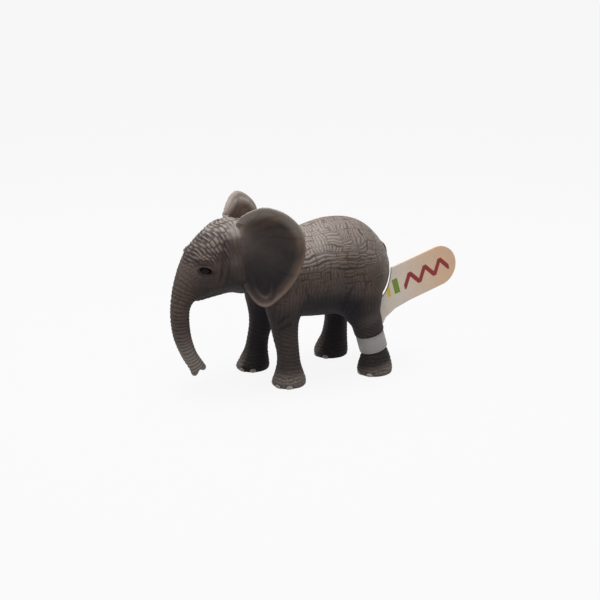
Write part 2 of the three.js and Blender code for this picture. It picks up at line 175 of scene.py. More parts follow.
def node_box(name):
    """The lowest and the highest corner of a CAD node, in millimetres."""
    low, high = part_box(name)
    return np.array(low) / MM, np.array(high) / MM


# Numbers over many points

# The level of a pattern that leaves the skin where it was
FOLD_MIDDLE = 0.6


def unit(ways):
    """Ways that are 1 long."""
    return ways / np.maximum(np.linalg.norm(ways, axis=-1, keepdims=True), 1e-9)


def ease(low, high, value):
    """0 below low, 1 above high and smooth between them. low may be the larger of the two."""
    share = np.clip((value - low) / (high - low), 0.0, 1.0)
    return share * share * (3.0 - 2.0 * share)


def bump(value, width):
    """1 at 0, and smoothly down to 0 on both sides."""
    return np.exp(-((value / width) ** 2))


def scatter(cells, seed):
    """A number from 0 to 1 for each cell of a grid, the same each run."""
    turned = cells @ np.array((127.1, 311.7, 74.7)) + 19.19 * seed
    return np.modf(np.abs(np.sin(turned) * 43758.5453))[0]


def rough(points, size, seed=0):
    """Smooth noise from -1 to 1 whose lumps are about size across."""
    grid = points / size + 7.31
    low = np.floor(grid)
    part = grid - low
    part = part * part * (3.0 - 2.0 * part)
    total = np.zeros(len(points))
    for corner in itertools.product((0.0, 1.0), repeat=3):
        weight = np.prod(np.where(corner, part, 1.0 - part), axis=1)
        total += weight * scatter(low + corner, seed)
    return 2.0 * total - 1.0


def layered(points, size, seed=0):
    """Smooth noise from -1 to 1 in three layers, each half as large and as strong as the one before."""
    layers = (rough(points, size / 2**k, seed + k) / 2**k for k in range(3))
    return sum(layers) / 1.75


def pebbles(points, size, seed=0):
    """Rounded scales of a size: 1 on top, 0 in the lines between them."""
    grid = points / size
    low = np.floor(grid)
    first = np.full(len(points), 9.0)
    second = first.copy()
    for offset in itertools.product((-1.0, 0.0, 1.0), repeat=3):
        cell = low + offset
        spot = cell + np.stack([scatter(cell, seed + k) for k in range(3)], axis=1)
        away = np.linalg.norm(grid - spot, axis=1)
        second = np.minimum(second, np.maximum(first, away))
        first = np.minimum(first, away)
    return np.clip(1.9 * (second - first), 0.0, 1.0) ** 0.7


def folds(phase, sharpness=0.55):
    """Rounded ridges with narrow valleys where phase is a whole number."""
    return np.abs(np.sin(math.pi * phase)) ** sharpness


def chance(*numbers):
    """A number from 0 to 1 for each set of whole numbers."""
    count = max(np.size(number) for number in numbers)
    cells = np.stack([np.broadcast_to(number, count) for number in (*numbers, 0.0, 0.0)[:3]], axis=1)
    return scatter(cells, 3)


def faded(pattern, border, width=0.3):
    """A pattern that comes to its middle height towards a border."""
    return FOLD_MIDDLE + (pattern - FOLD_MIDDLE) * ease(0.0, width, border)


def strokes(along, across, pitch, length, seed=0):
    """Ridges broken into strokes of a length, each column of them a little out of step with the next."""
    column = across / length
    index = np.floor(column)
    border = length * np.minimum(column - index, 1.0 + index - column)
    return faded(folds(along / pitch + chance(index, seed), 0.5), border)


def spindles(phase, across, length, seed=0):
    """Short ridges that thin out at both ends, each row of them starting where it likes."""
    place = across / length + 5.0 * chance(np.floor(phase), seed)
    column = np.floor(place)
    border = np.minimum(place - column, 1.0 + column - place)
    return folds(phase, 1.2) * (0.35 + 0.65 * ease(0.0, 0.35, border))


def line_distance(points, line):
    """How far each point lies from a line through places, and how far along the line it is."""
    line = np.asarray(line, float)
    best = np.full(len(points), 1e9)
    along = np.zeros(len(points))
    passed = 0.0
    for start, end in zip(line[:-1], line[1:]):
        way = end - start
        length = np.linalg.norm(way)
        share = np.clip((points - start) @ way / length**2, 0.0, 1.0)
        away = np.linalg.norm(points - start - share[:, None] * way, axis=1)
        nearer = away < best
        best = np.where(nearer, away, best)
        along = np.where(nearer, passed + share * length, along)
        passed += length
    return best, along / passed


def smooth_line(places, count=160):
    """Many points on a smooth curve through a few places."""
    places = np.asarray(places, float)
    ends = np.vstack([2 * places[0] - places[1], places, 2 * places[-1] - places[-2]])
    made = []
    for position in np.linspace(0, len(places) - 1 - 1e-9, count):
        i = int(position)
        t = position - i
        a, b, c, d = ends[i : i + 4]
        level = 2 * b + (c - a) * t
        made.append(0.5 * (level + (2 * a - 5 * b + 4 * c - d) * t**2 + (3 * b - a - 3 * c + d) * t**3))
    return np.array(made)


# Clay: a mesh that is being sculpted


class Clay:
    """A mesh with its points in millimetres, its normals, and the masks that its paint reads."""

    def __init__(self, mesh):
        self.mesh = mesh
        self.points = self.read(mesh.vertices, "co", 3, np.float32) / MM
        self.edges = self.read(mesh.edges, "vertices", 2, np.int32)
        count = len(self.points)
        self.raised = np.full(count, 0.5)
        self.crease, self.spray, self.brown, self.nail, self.shade = np.zeros((5, count))
        self.refresh()

    @staticmethod
    def read(collection, key, width, kind):
        flat = np.empty(len(collection) * width, kind)
        collection.foreach_get(key, flat)
        return flat.reshape(-1, width).astype(float if kind is np.float32 else kind)

    def refresh(self):
        self.mesh.vertices.foreach_set("co", (self.points * MM).astype(np.float32).ravel())
        self.mesh.update()
        self.normals = self.read(self.mesh.vertex_normals, "vector", 3, np.float32)

    def shift(self, moves):
        """Moves each point by its own way."""
        self.points = self.points + moves
        self.refresh()

    def push(self, height):
        """Moves each point out along its normal."""
        self.shift(self.normals * height[:, None])

    def spread(self, values):
        """The mean of each point's neighbours."""
        a, b = self.edges.T
        count = len(values)
        columns = values.reshape(count, -1).T
        total = [np.bincount(a, v[b], count) + np.bincount(b, v[a], count) for v in columns]
        neighbours = np.maximum(np.bincount(self.edges.ravel(), minlength=count), 1)
        return (np.stack(total, axis=1) / neighbours[:, None]).reshape(values.shape)

    def soft_normals(self):
        """The normals without the finest relief."""
        return self.spread(self.spread(self.spread(self.normals)))

    def relax(self, rounds, weight=1.0, hold=1.02):
        """Smooths the points. hold pushes them back as far, so that nothing shrinks. 0 fills hollows."""
        weight = np.broadcast_to(weight, len(self.points))[:, None]
        for _ in range(rounds):
            self.points = self.points + 0.5 * weight * (self.spread(self.points) - self.points)
            if hold:
                self.points = self.points - 0.5 * hold * weight * (self.spread(self.points) - self.points)
        self.refresh()

    def carve(self, pattern, depth, mask=1.0, middle=FOLD_MIDDLE):
        """Raises the skin by a pattern from 0, in a fold, to 1, on a ridge, and notes both for the paint."""
        mask = np.broadcast_to(mask, len(self.points))
        self.push(depth * mask * (pattern - middle))
        weight = mask * min(1.0, depth / 0.2)
        # The folds get dark paint and painted shade
        self.crease = np.maximum(self.crease, weight * ease(0.75, 0.05, pattern))
        self.raised = self.raised + 0.7 * weight * (pattern - self.raised)

    def dab(self, place, radius, height):
        """A soft swelling, or a hollow where height is negative."""
        away = np.linalg.norm((self.points - np.array(place)) / np.asarray(radius, float), axis=1)
        self.push(height * np.exp(-2.0 * away**2))

    def crease_line(self, places, width, depth, ridge=0.35):
        """A fold along a smooth line, with a low ridge on either side, thinning out to both ends."""
        away, along = line_distance(self.points, smooth_line(places, 24))
        fade = ease(0.0, 0.18, along) * ease(1.0, 0.82, along)
        valley = bump(away, width) * fade
        shoulder = bump(away - 2.0 * width, width) * fade
        self.push(depth * (ridge * shoulder - valley))
        # Dark paint and painted shade in the fold's valley
        self.crease = np.maximum(self.crease, valley)

    def keep_largest(self):
        """Drops all but the largest connected part."""
        label = np.arange(len(self.points))
        a, b = self.edges.T
        while True:
            lowest = label.copy()
            np.minimum.at(lowest, a, label[b])
            np.minimum.at(lowest, b, label[a])
            lowest = lowest[lowest]
            if np.array_equal(lowest, label):
                break
            label = lowest
        largest = np.bincount(label).argmax()
        if np.all(label == largest):
            return self
        work = bmesh.new()
        work.from_mesh(self.mesh)
        work.verts.ensure_lookup_table()
        bmesh.ops.delete(work, geom=[work.verts[i] for i in np.nonzero(label != largest)[0]], context="VERTS")
        work.to_mesh(self.mesh)
        work.free()
        return Clay(self.mesh)

    def store(self):
        """Writes the masks to the mesh, where the materials read them."""
        paint = np.stack([self.crease, self.spray, self.brown, self.nail], axis=1)
        write_attribute(self.mesh, "paint", "FLOAT_COLOR", "color", np.clip(paint, 0.0, 1.0))
        write_attribute(self.mesh, "raised", "FLOAT", "value", np.clip(self.raised, 0.0, 1.0))
        write_attribute(self.mesh, "shade", "FLOAT", "value", np.clip(self.shade, 0.0, 1.0))
        return self.mesh


def write_attribute(mesh, name, kind, key, values):
    """Writes a value for each point of a mesh."""
    layer = mesh.attributes.get(name) or mesh.attributes.new(name, kind, "POINT")
    layer.data.foreach_set(key, values.astype(np.float32).ravel())


def evaluated(obj, **modifier):
    """The mesh of an object after one modifier. The object is deleted."""
    added = obj.modifiers.new("made", modifier.pop("type"))
    for key, value in modifier.items():
        setattr(added, key, value)
    graph = bpy.context.evaluated_depsgraph_get()
    mesh = bpy.data.meshes.new_from_object(obj.evaluated_get(graph), depsgraph=graph)
    bpy.data.objects.remove(obj)
    return mesh


def linked(name, data):
    """A new object in the scene."""
    obj = bpy.data.objects.new(name, data)
    bpy.context.scene.collection.objects.link(obj)
    return obj


def mesh_of(work, name):
    """The mesh of a finished edit mesh, which is freed."""
    mesh = bpy.data.meshes.new(name)
    work.to_mesh(mesh)
    work.free()
    return mesh


def cad_copy(names, grow, plugs=()):
    """CAD nodes joined in one mesh, each grown all round, with balls that fill the sockets named in plugs."""
    work = bmesh.new()
    for name in names:
        work.from_mesh(frame["nodes"][name].data)
    bmesh.ops.remove_doubles(work, verts=work.verts, dist=0.002 * MM)
    work.normal_update()
    moves = [(vert, vert.normal * grow * MM) for vert in work.verts]
    for vert, move in moves:
        vert.co += move
    for place, radius in plugs:
        matrix = Matrix.Translation(Vector(place) * MM)
        bmesh.ops.create_icosphere(work, subdivisions=3, radius=radius * MM, matrix=matrix)
    return linked("cad_copy", mesh_of(work, "cad_copy"))


def fresh_clay(names, grain, grow=0.0, plugs=()):
    """An even, closed skin round CAD nodes, grown for the union and drawn back to their size."""
    mesh = evaluated(cad_copy(names, grow, plugs), type="REMESH", mode="VOXEL", voxel_size=grain * MM)
    clay = Clay(mesh).keep_largest()
    clay.relax(3)
    if grow:
        clay.push(np.full(len(clay.points), -grow))
    return clay


def finer(clay):
    """The same clay with each face cut in four."""
    return Clay(evaluated(linked("finer", clay.mesh), type="SUBSURF", levels=1, render_levels=1))


# The moulding: body, head and legs are sculpted as one skin and cut at their joint planes afterwards


def head_share(points):
    """1 on the head and 0 on the body."""
    return ease(2.0, -1.5, (points - NECK_POINT) @ NECK_WAY)


def leg_share(points):
    """1 on the shins, 0 on the barrel."""
    return ease(24.0, 15.0, points[:, 2]) * ease(-28.0, -25.0, points[:, 0])


def spine_line():
    """The line from the skull to the tip of the trunk."""
    low, high = node_box("head")
    long, _, tall = high - low
    along = [(high[0] - ahead * long, 0.0, low[2] + up * tall) for ahead, up in SPINE_SHARES]
    return smooth_line(along, 60)


def down_spine(points):
    """How far down the spine of head and trunk each point lies, and how long that line is."""
    line = spine_line()
    flat = points * (1.0, 0.0, 1.0)
    length = np.linalg.norm(np.diff(line, axis=0), axis=1).sum()
    return line_distance(flat, line)[1] * length, length


def dab_pairs(clay, rows):
    """Swellings and hollows on both sides, each given by its place, radii and height."""
    for place, radii, height in rows:
        for side in SIDES:
            clay.dab(place * np.array((1.0, side, 1.0)), radii, height)


def crease_pairs(clay, lines, width, depth):
    """Folds along lines on both sides."""
    for places in lines:
        for side in SIDES:
            clay.crease_line(places * np.array((1.0, side, 1.0)), width, depth)


def shape_body(clay):
    """Muscles and bones under the skin of the body."""
    dab_pairs(clay, (
        ((-15.0, 11.5, 36.0), (6.5, 6.0, 9.0), 0.6),  # shoulder blade
        ((-15.5, 12.5, 26.5), (5.0, 5.0, 5.0), 0.4),  # upper arm
        ((-5.5, 13.0, 30.0), (3.0, 6.0, 8.0), -0.4),  # hollow behind the shoulder
        ((14.0, 12.5, 35.0), (7.5, 6.0, 8.0), 0.4),  # haunch
        ((3.5, 13.5, 29.0), (3.5, 6.0, 7.0), -0.5),  # hollow before the haunch
        ((-21.0, 7.0, 43.0), (4.0, 5.0, 5.0), -0.4),  # hollow of the neck
        ((-27.0, 3.0, 29.8), (3.5, 4.0, 4.0), 0.9),  # throat
        ((-25.6, 5.5, 29.4), (3.0, 3.5, 3.5), 1.0),  # corner of the throat
    ))
    away = np.abs(clay.points[:, 1])
    top = ease(0.4, 0.9, clay.normals[:, 2]) * (1.0 - head_share(clay.points))
    clay.push(0.2 * top * bump(away, 1.6))


def shape_head(clay):
    """Brow, cheeks, temples, jaw and the root of the trunk."""
    dab_pairs(clay, (
        ((-38.2, 6.6, 42.4), (3.0, 2.4, 2.0), 0.3),  # brow
        ((-34.0, 8.6, 41.5), (2.8, 3.0, 3.2), -0.45),  # temple
        ((-35.0, 7.6, 34.5), (4.2, 3.0, 3.0), 0.4),  # cheek
        ((-41.8, 4.6, 35.5), (2.0, 2.6, 3.6), 0.3),  # side of the trunk's root
        ((-30.5, 7.0, 49.8), (3.5, 3.0, 3.0), 0.3),  # dome of the crown
        ((-38.0, 2.6, 46.6), (3.4, 3.4, 3.4), -0.35),  # slope of the forehead
    ))
    clay.dab((-31.0, 0.0, 53.0), (4.0, 1.6, 3.0), -0.3)
    mouth = (
        (-40.6, 3.6, 28.9), (-37.6, 4.7, 29.7), (-33.8, 5.6, 30.7), (-30.2, 6.4, 32.2), (-28.0, 7.4, 34.0),
    )
    crease_pairs(clay, (mouth,), 0.4, 0.5)
    cheek_folds = (
        ((-33.6, 9.4, 45.0), (-32.8, 9.6, 41.0), (-33.0, 9.2, 37.0), (-33.8, 8.0, 33.6)),
        ((-35.4, 9.0, 44.0), (-34.8, 9.2, 40.8), (-35.0, 8.8, 37.4), (-36.0, 7.6, 34.6)),
        ((-39.8, 5.8, 35.4), (-38.6, 6.6, 34.2), (-38.4, 6.4, 32.2)),
    )
    crease_pairs(clay, cheek_folds, 0.42, 0.2)


def shape_legs(clay):
    """Folds at elbows, knees and where the legs leave the body, slimmer shins, and the tag's round shin."""
    leg_folds = (
        ((-8.6, 10.6, 21.0), (-8.2, 12.2, 25.0), (-9.0, 13.0, 30.5)),
        ((-10.6, 12.4, 21.4), (-10.0, 13.0, 25.4), (-11.0, 13.2, 29.5)),
        ((-20.6, 10.4, 24.0), (-19.4, 12.2, 28.5), (-18.0, 12.9, 33.0)),
        ((-18.6, 11.2, 20.5), (-16.6, 12.3, 23.0), (-14.4, 12.6, 24.2)),
        ((-19.0, 10.8, 17.6), (-16.4, 12.1, 20.0), (-13.4, 12.4, 21.2)),
        ((3.6, 10.8, 22.2), (4.4, 12.6, 26.5), (6.2, 13.8, 31.5)),
        ((5.4, 11.4, 20.0), (7.0, 13.2, 23.5), (9.8, 14.2, 26.5)),
    )
    crease_pairs(clay, leg_folds, 0.5, 0.15)
    slimmer = leg_share(clay.points) * ease(1.0, 5.0, clay.points[:, 2])
    clay.push(-0.15 * slimmer)
    round_shin(clay)


def round_shin(clay):
    """Makes the shin under the tag truly round, and flares it just above the band."""
    off = clay.points - SHIN_MIDDLE
    along = off @ SHIN_WAY
    across = off - along[:, None] * SHIN_WAY
    radius = np.linalg.norm(across, axis=1)
    above = 0.3 * ease(2.2, 2.8, along) + 0.65 * ease(2.75, 3.3, along) + 0.5 * ease(4.0, 10.0, along)
    target = SHIN_RADIUS + above + 0.3 * ease(-2.8, -3.8, along)
    near = ease(-5.0, -3.4, along) * ease(10.5, 6.5, along) * (radius < SHIN_NEAR)
    inside = ease(3.0, 2.6, np.abs(along)) * (radius < SHIN_NEAR)
    wanted = radius + np.where(radius < target, near, inside) * (target - radius)
    clay.shift(across * (wanted / np.maximum(radius, 1e-6) - 1.0)[:, None])


def off_shin(points):
    """0 on the shin under the tag, 1 elsewhere."""
    off = points - SHIN_MIDDLE
    along = np.abs(off @ SHIN_WAY)
    return 1.0 - ease(3.6, 2.8, along) * (np.linalg.norm(off, axis=1) < SHIN_NEAR)


def weave(points, settings):
    """Rows of blocks that wind round the barrel, each block of upright or of level folds, like a basket."""
    girth = SECTION_RADIUS * np.arctan2(points[:, 1], points[:, 2] - SECTION_HEIGHT)
    low = np.abs(girth)
    u = points[:, 0] + 0.9 * rough(points, 4.5, 1) + 0.35 * rough(points, 1.6, 4)
    v = girth + 1.1 * rough(points, 5.0, 2) + 0.35 * rough(points, 1.8, 5)
    pitch = settings.fold_pitch / MM
    height = settings.row_height / MM
    row = np.floor(v / height)
    length = height * (1.0 + 0.9 * chance(row))
    place = u / length + 7.0 * chance(row, 1.0)
    block = np.floor(place)
    off_row = height * np.abs(v / height - row - 0.5)
    off_block = length * np.abs(place - block - 0.5)
    border = np.minimum(0.5 * height - off_row, 0.5 * length - off_block)
    level = chance(row, block) < 0.1 + 0.55 * bump(low - 16.0, 8.0)
    start = chance(row, block, 2.0)
    upright = folds(u / pitch + start, 0.5)
    lying = folds(v / (1.05 * pitch) + start, 0.5)
    pattern = faded(np.where(level, lying, upright), border, 0.35)
    open_seam = ease(-0.1, 0.5, rough(points, 2.4, 6))
    seam = bump(0.5 * height - off_row, 0.2) * open_seam
    side = bump(0.5 * length - off_block, 0.18) * (chance(row, block, 5.0) < 0.5)
    return pattern * (1.0 - 0.7 * np.maximum(seam, 0.8 * side))


def carve_body(clay, settings):
    """Folds like basket work on back and flanks, scales on the rump, faint upright lines on the belly."""
    points = clay.points
    body = (1.0 - head_share(points)) * (1.0 - leg_share(points))
    high = ease(24.0, 33.0, points[:, 2])
    rump = ease(13.0, 20.0, points[:, 0])
    woven = body * (0.2 + 0.8 * high) * (1.0 - 0.75 * rump)
    clay.carve(weave(points, settings), settings.fold_depth / MM, woven)
    scales = pebbles(points + 0.3 * rough(points, 2.0, 7)[:, None], settings.scale_size / MM, 5)
    clay.carve(scales, 0.7 * settings.fold_depth / MM, body * rump * (0.35 + 0.65 * high))
    along = points[:, 0] + 0.5 * rough(points, 3.0, 8)
    upright = strokes(along, points[:, 2] + rough(points, 4.0, 9), 1.25, 5.0, 2.0)
    clay.carve(upright, 0.13, body * ease(32.0, 25.0, points[:, 2]) * (1.0 - 0.6 * rump))


def carve_head(clay, settings):
    """Rings down the trunk, level strokes on the forehead, bumps at the trunk's root, folds on the cheeks."""
    points, normals = clay.points, clay.normals
    head = head_share(points)
    down, length = down_spine(points)
    share = down / length
    pitch = settings.ring_pitch / MM
    wobble = 0.3 * rough(points, 2.6, 20) + 0.12 * rough(points, 1.2, 21)
    rings = strokes(down + pitch * wobble, points[:, 1] + 1.5 * rough(points, 5.0, 22), pitch, 5.5, 4.0)
    trunk = head * ease(0.4, 0.55, share)
    clay.carve(rings, settings.ring_depth / MM, trunk * (0.75 + 0.25 * ease(0.4, -0.5, normals[:, 0])), 0.5)
    clay.raised = clay.raised + 0.25 * trunk * ease(0.72, 0.86, share) * (rings - 0.5)
    soft = clay.soft_normals()
    turn = np.arctan2(np.abs(soft[:, 1]), 0.7 * (soft[:, 2] - soft[:, 0]))
    across = 7.5 * turn + 0.4 * rough(points, 3.5, 23)
    phase = (down + 0.1 * np.abs(points[:, 1])) / (settings.stroke_pitch / MM) + 0.8 * wobble
    brow = head * ease(0.5, 0.4, share) * ease(0.03, 0.12, share)
    over = brow * ease(-0.1, 0.45, soft[:, 2] - 0.45 * soft[:, 0]) * ease(38.5, 42.0, points[:, 2])
    over = over * ease(0.8, 3.0, ear_gap(points))
    clay.carve(spindles(phase, across, 2.6, 6.0), settings.stroke_depth / MM, over, 0.5)
    face = head * bump(share - 0.42, 0.14) * ease(46.0, 42.0, points[:, 2])
    clay.carve(pebbles(points, 0.8, 26), 0.1, face)
    crossing = strokes(points[:, 1] + 0.4 * rough(points, 2.0, 28), down, 1.25, 3.4, 8.0)
    clay.carve(crossing, 0.08, trunk * ease(0.75, 0.55, share))
    cheek = head * (1.0 - over) * ease(0.5, 0.35, share)
    along = points[:, 0] + 0.6 * rough(points, 3.0, 27)
    clay.carve(strokes(along, points[:, 2] + rough(points, 3.0, 29), 1.5, 4.5, 9.0), 0.09, cheek)


def leg_turn(points):
    """How far round its leg each point lies, in millimetres."""
    turn = np.zeros(len(points))
    for name in LEGS:
        (x, y, _), _ = foot_facts(name)
        hip_x, hip_out = HIPS[name.split("_")[0]]
        share = np.clip(points[:, 2] / HIP_HEIGHT, 0.0, 1.0)
        middle_x, middle_y = x + share * (hip_x - x), y + share * (side_of(name) * hip_out - y)
        near = (np.abs(points[:, 0] - middle_x) < 8.0) & (np.abs(points[:, 1] - middle_y) < 7.0)
        turn = np.where(near, 4.0 * np.arctan2(points[:, 1] - middle_y, points[:, 0] - middle_x), turn)
    return turn


def carve_legs(clay):
    """Folds round the shins, slanting at the elbow and finer at the foot."""
    points = clay.points
    legs = leg_share(points) * off_shin(points)
    turn = leg_turn(points)
    height = points[:, 2]
    wobble = 0.45 * rough(points, 3.2, 30) + 0.2 * rough(points, 1.3, 31)
    ahead = points[:, 0] - np.where(points[:, 0] < -2.0, HIPS["front"][0], HIPS["hind"][0])
    slant = (0.1 + 0.35 * ease(9.0, 17.0, height)) * ahead
    rings = strokes(height + slant + wobble, turn + 0.8 * rough(points, 3.0, 32), 1.25, 4.6, 11.0)
    varied = 0.6 + 0.4 * ease(-0.4, 0.3, rough(points, 4.0, 33))
    clay.carve(rings, 0.2, legs * ease(4.0, 6.5, height) * varied)
    creases = strokes(height + 0.8 * wobble, turn + 0.8 * rough(points, 2.4, 34), 1.05, 3.4, 12.0)
    clay.carve(creases, 0.24, legs * ease(7.0, 5.0, height) * ease(0.8, 2.2, height))
    clay.carve(pebbles(points, 0.9, 35), 0.07, legs * ease(7.0, 4.0, height))


@functools.cache
def foot_facts(name):
    """The middle and the half sizes of a foot, from its CAD node near the ground."""
    points = node_points(f"{name}_leg")
    sole = points[points[:, 2] < 1.0]
    low, high = sole.min(axis=0), sole.max(axis=0)
    return (low + high) / 2, (high - low) / 2


def shape_nails(clay):
    """Toenails round the front of each foot: low shields whose lower half shows, under a fold of skin."""
    for name in LEGS:
        (x, y, _), (long, wide, _) = foot_facts(name)
        ahead = x - clay.points[:, 0]
        aside = clay.points[:, 1] - y
        near = (np.abs(ahead) < 2 * long) & (np.abs(aside) < 2 * wide) & (clay.points[:, 2] < 5.0)
        angle = np.arctan2(aside / wide, ahead / long)
        for turn in NAIL_TURNS[name.split("_")[0]]:
            across = (angle - turn) * (long + wide) / 2
            up = (clay.points[:, 2] - 0.62) / 0.85
            away = np.where(near, (across**2 + np.abs(up) ** 2.4) ** 0.5, 9.0)
            shield = ease(1.05, 0.85, away)
            groove = bump(away - 1.18, 0.2)
            clay.push(0.12 * shield - 0.2 * groove * ease(-0.6, 0.4, up))
            clay.nail = np.maximum(clay.nail, shield * (0.55 + 0.45 * ease(0.5, -0.5, up)))
            # Dark paint and painted shade in the groove round each nail
            clay.crease = np.maximum(clay.crease * (1.0 - shield), 0.9 * groove)


def shape_tip(clay):
    """Two nostrils between the finger tips of the trunk."""
    line = spine_line()
    end, way = line[-1], unit(line[-1] - line[-4])
    for side in SIDES:
        spot = end + way * 1.1 + np.array((0.1, 0.75 * side, 0.0))
        away = np.linalg.norm(clay.points - spot, axis=1)
        hole = bump(away, 0.62) * ease(0.0, 0.5, clay.normals @ way)
        clay.push(-0.7 * hole)
        # Painted shade in the nostrils
        clay.crease = np.maximum(clay.crease, hole)


def eye_outward(side):
    """The way that an eye looks."""
    return unit(np.array((-0.42, side * 0.88, 0.14)))


def eye_places(clay, name):
    """How far forward and up from an eye each point lies, along its lids, and whether it is near."""
    low, high = node_box(name)
    side = side_of(name)
    out = eye_outward(side)
    ahead = unit(out * out[0] - np.array((1.0, 0.0, 0.0)))
    upward = -side * np.cross(ahead, out)
    off = clay.points - (low + high) / 2
    return off @ ahead, off @ upward, np.linalg.norm(off, axis=1) < 7.0


def shape_eyes(clay):
    """Sockets with heavy lids, and rings of fine folds round them."""
    for name in EYES:
        ahead, up, near = eye_places(clay, name)
        tilted = up - 0.2 * ahead
        oval = np.sqrt((ahead / 1.65) ** 2 + (tilted / np.where(tilted > 0, 0.95, 0.9)) ** 2)
        ring = np.where(near, oval, 9.0)
        wide = np.where(near, np.hypot(ahead + 0.6, up - 0.2), 99.0)
        lid = bump(ring - 1.3, 0.24) * (0.7 + 0.5 * ease(-0.5, 0.8, tilted))
        rings = 0.5 * bump(wide - 2.7, 0.26) + 0.35 * bump(wide - 3.6, 0.28) + 0.15 * bump(wide - 4.5, 0.3)
        behind = ease(1.5, -1.0, ahead) * 0.7 + 0.3
        clay.push(0.36 * lid - 0.26 * rings * behind - 0.16 * bump(ring - 1.72, 0.16))
        sunk = 0.8 * np.minimum(1.3, 4.0 * np.clip(1.08 - ring, 0.0, 1.0))
        clay.shift(-eye_outward(side_of(name)) * sunk[:, None])
        # Dark paint round the eye, and painted shade in the socket and the folds round it
        clay.crease = np.maximum(clay.crease, 0.85 * rings * behind)
        clay.crease = np.maximum(clay.crease, ease(1.9, 1.1, ring))
        clay.brown = np.maximum(clay.brown, 0.9 * bump(wide - 3.0, 1.2) * ease(-0.3, 1.5, up))


def ear_outward(side):
    """The way that an ear's outer face looks."""
    return np.array((-math.sin(EAR_FLARE), side * math.cos(EAR_FLARE), 0.0))


def ear_axes(points, side):
    """How far out along the ear, and how far up from its root, each point lies."""
    away = np.array((math.cos(EAR_FLARE), side * math.sin(EAR_FLARE), 0.0))
    off = points - EAR_ROOT * (1.0, side, 1.0)
    return off @ away, off[:, 2]


@functools.cache
def ear_front(name):
    """The front edge of an ear as a smooth line, from the points of its CAD node that lie furthest ahead."""
    points = node_points(name)
    out, up = ear_axes(points, side_of(name))
    line = []
    for level in np.linspace(-9.5, 11.5, 8):
        near = np.nonzero(np.abs(up - level) < 1.6)[0]
        line.append(points[near[out[near].argmin()]])
    return smooth_line(line, 60)


def ear_gap(points):
    """How far each point lies from the front edge of the nearer ear."""
    return np.minimum(*(line_distance(points, ear_front(name)[::6])[0] for name in EARS))


def swell_to_ears(clay):
    """Draws the skin of the head out to the front edges of the ears, so that they grow from the cheeks."""
    for name in EARS:
        side = side_of(name)
        outward = ear_outward(side)
        line = ear_front(name)
        x, y, z = clay.points.T
        near = np.nonzero((side * y > 1.5) & (x > -38.0) & (x < -22.0) & (z > 28.0))[0]
        off = line[None] - clay.points[near, None]
        height = off @ outward
        flat = np.linalg.norm(off - height[:, :, None] * outward, axis=2)
        nearest = flat.argmin(axis=1)
        rows = np.arange(len(near))
        rise = np.clip(height[rows, nearest] + 0.4, 0.0, 3.6) * ease(0.1, 0.6, clay.normals[near] @ outward)
        rise = rise * ease(53.0, 50.0, line[nearest, 2])
        reach = np.where(line[nearest, 0] > x[near], 3.2, 2.4)
        swelling = np.zeros(len(x))
        swelling[near] = rise * bump(flat[rows, nearest], reach)
        for _ in range(30):
            swelling = clay.spread(swelling)
        clay.shift(outward * swelling[:, None])


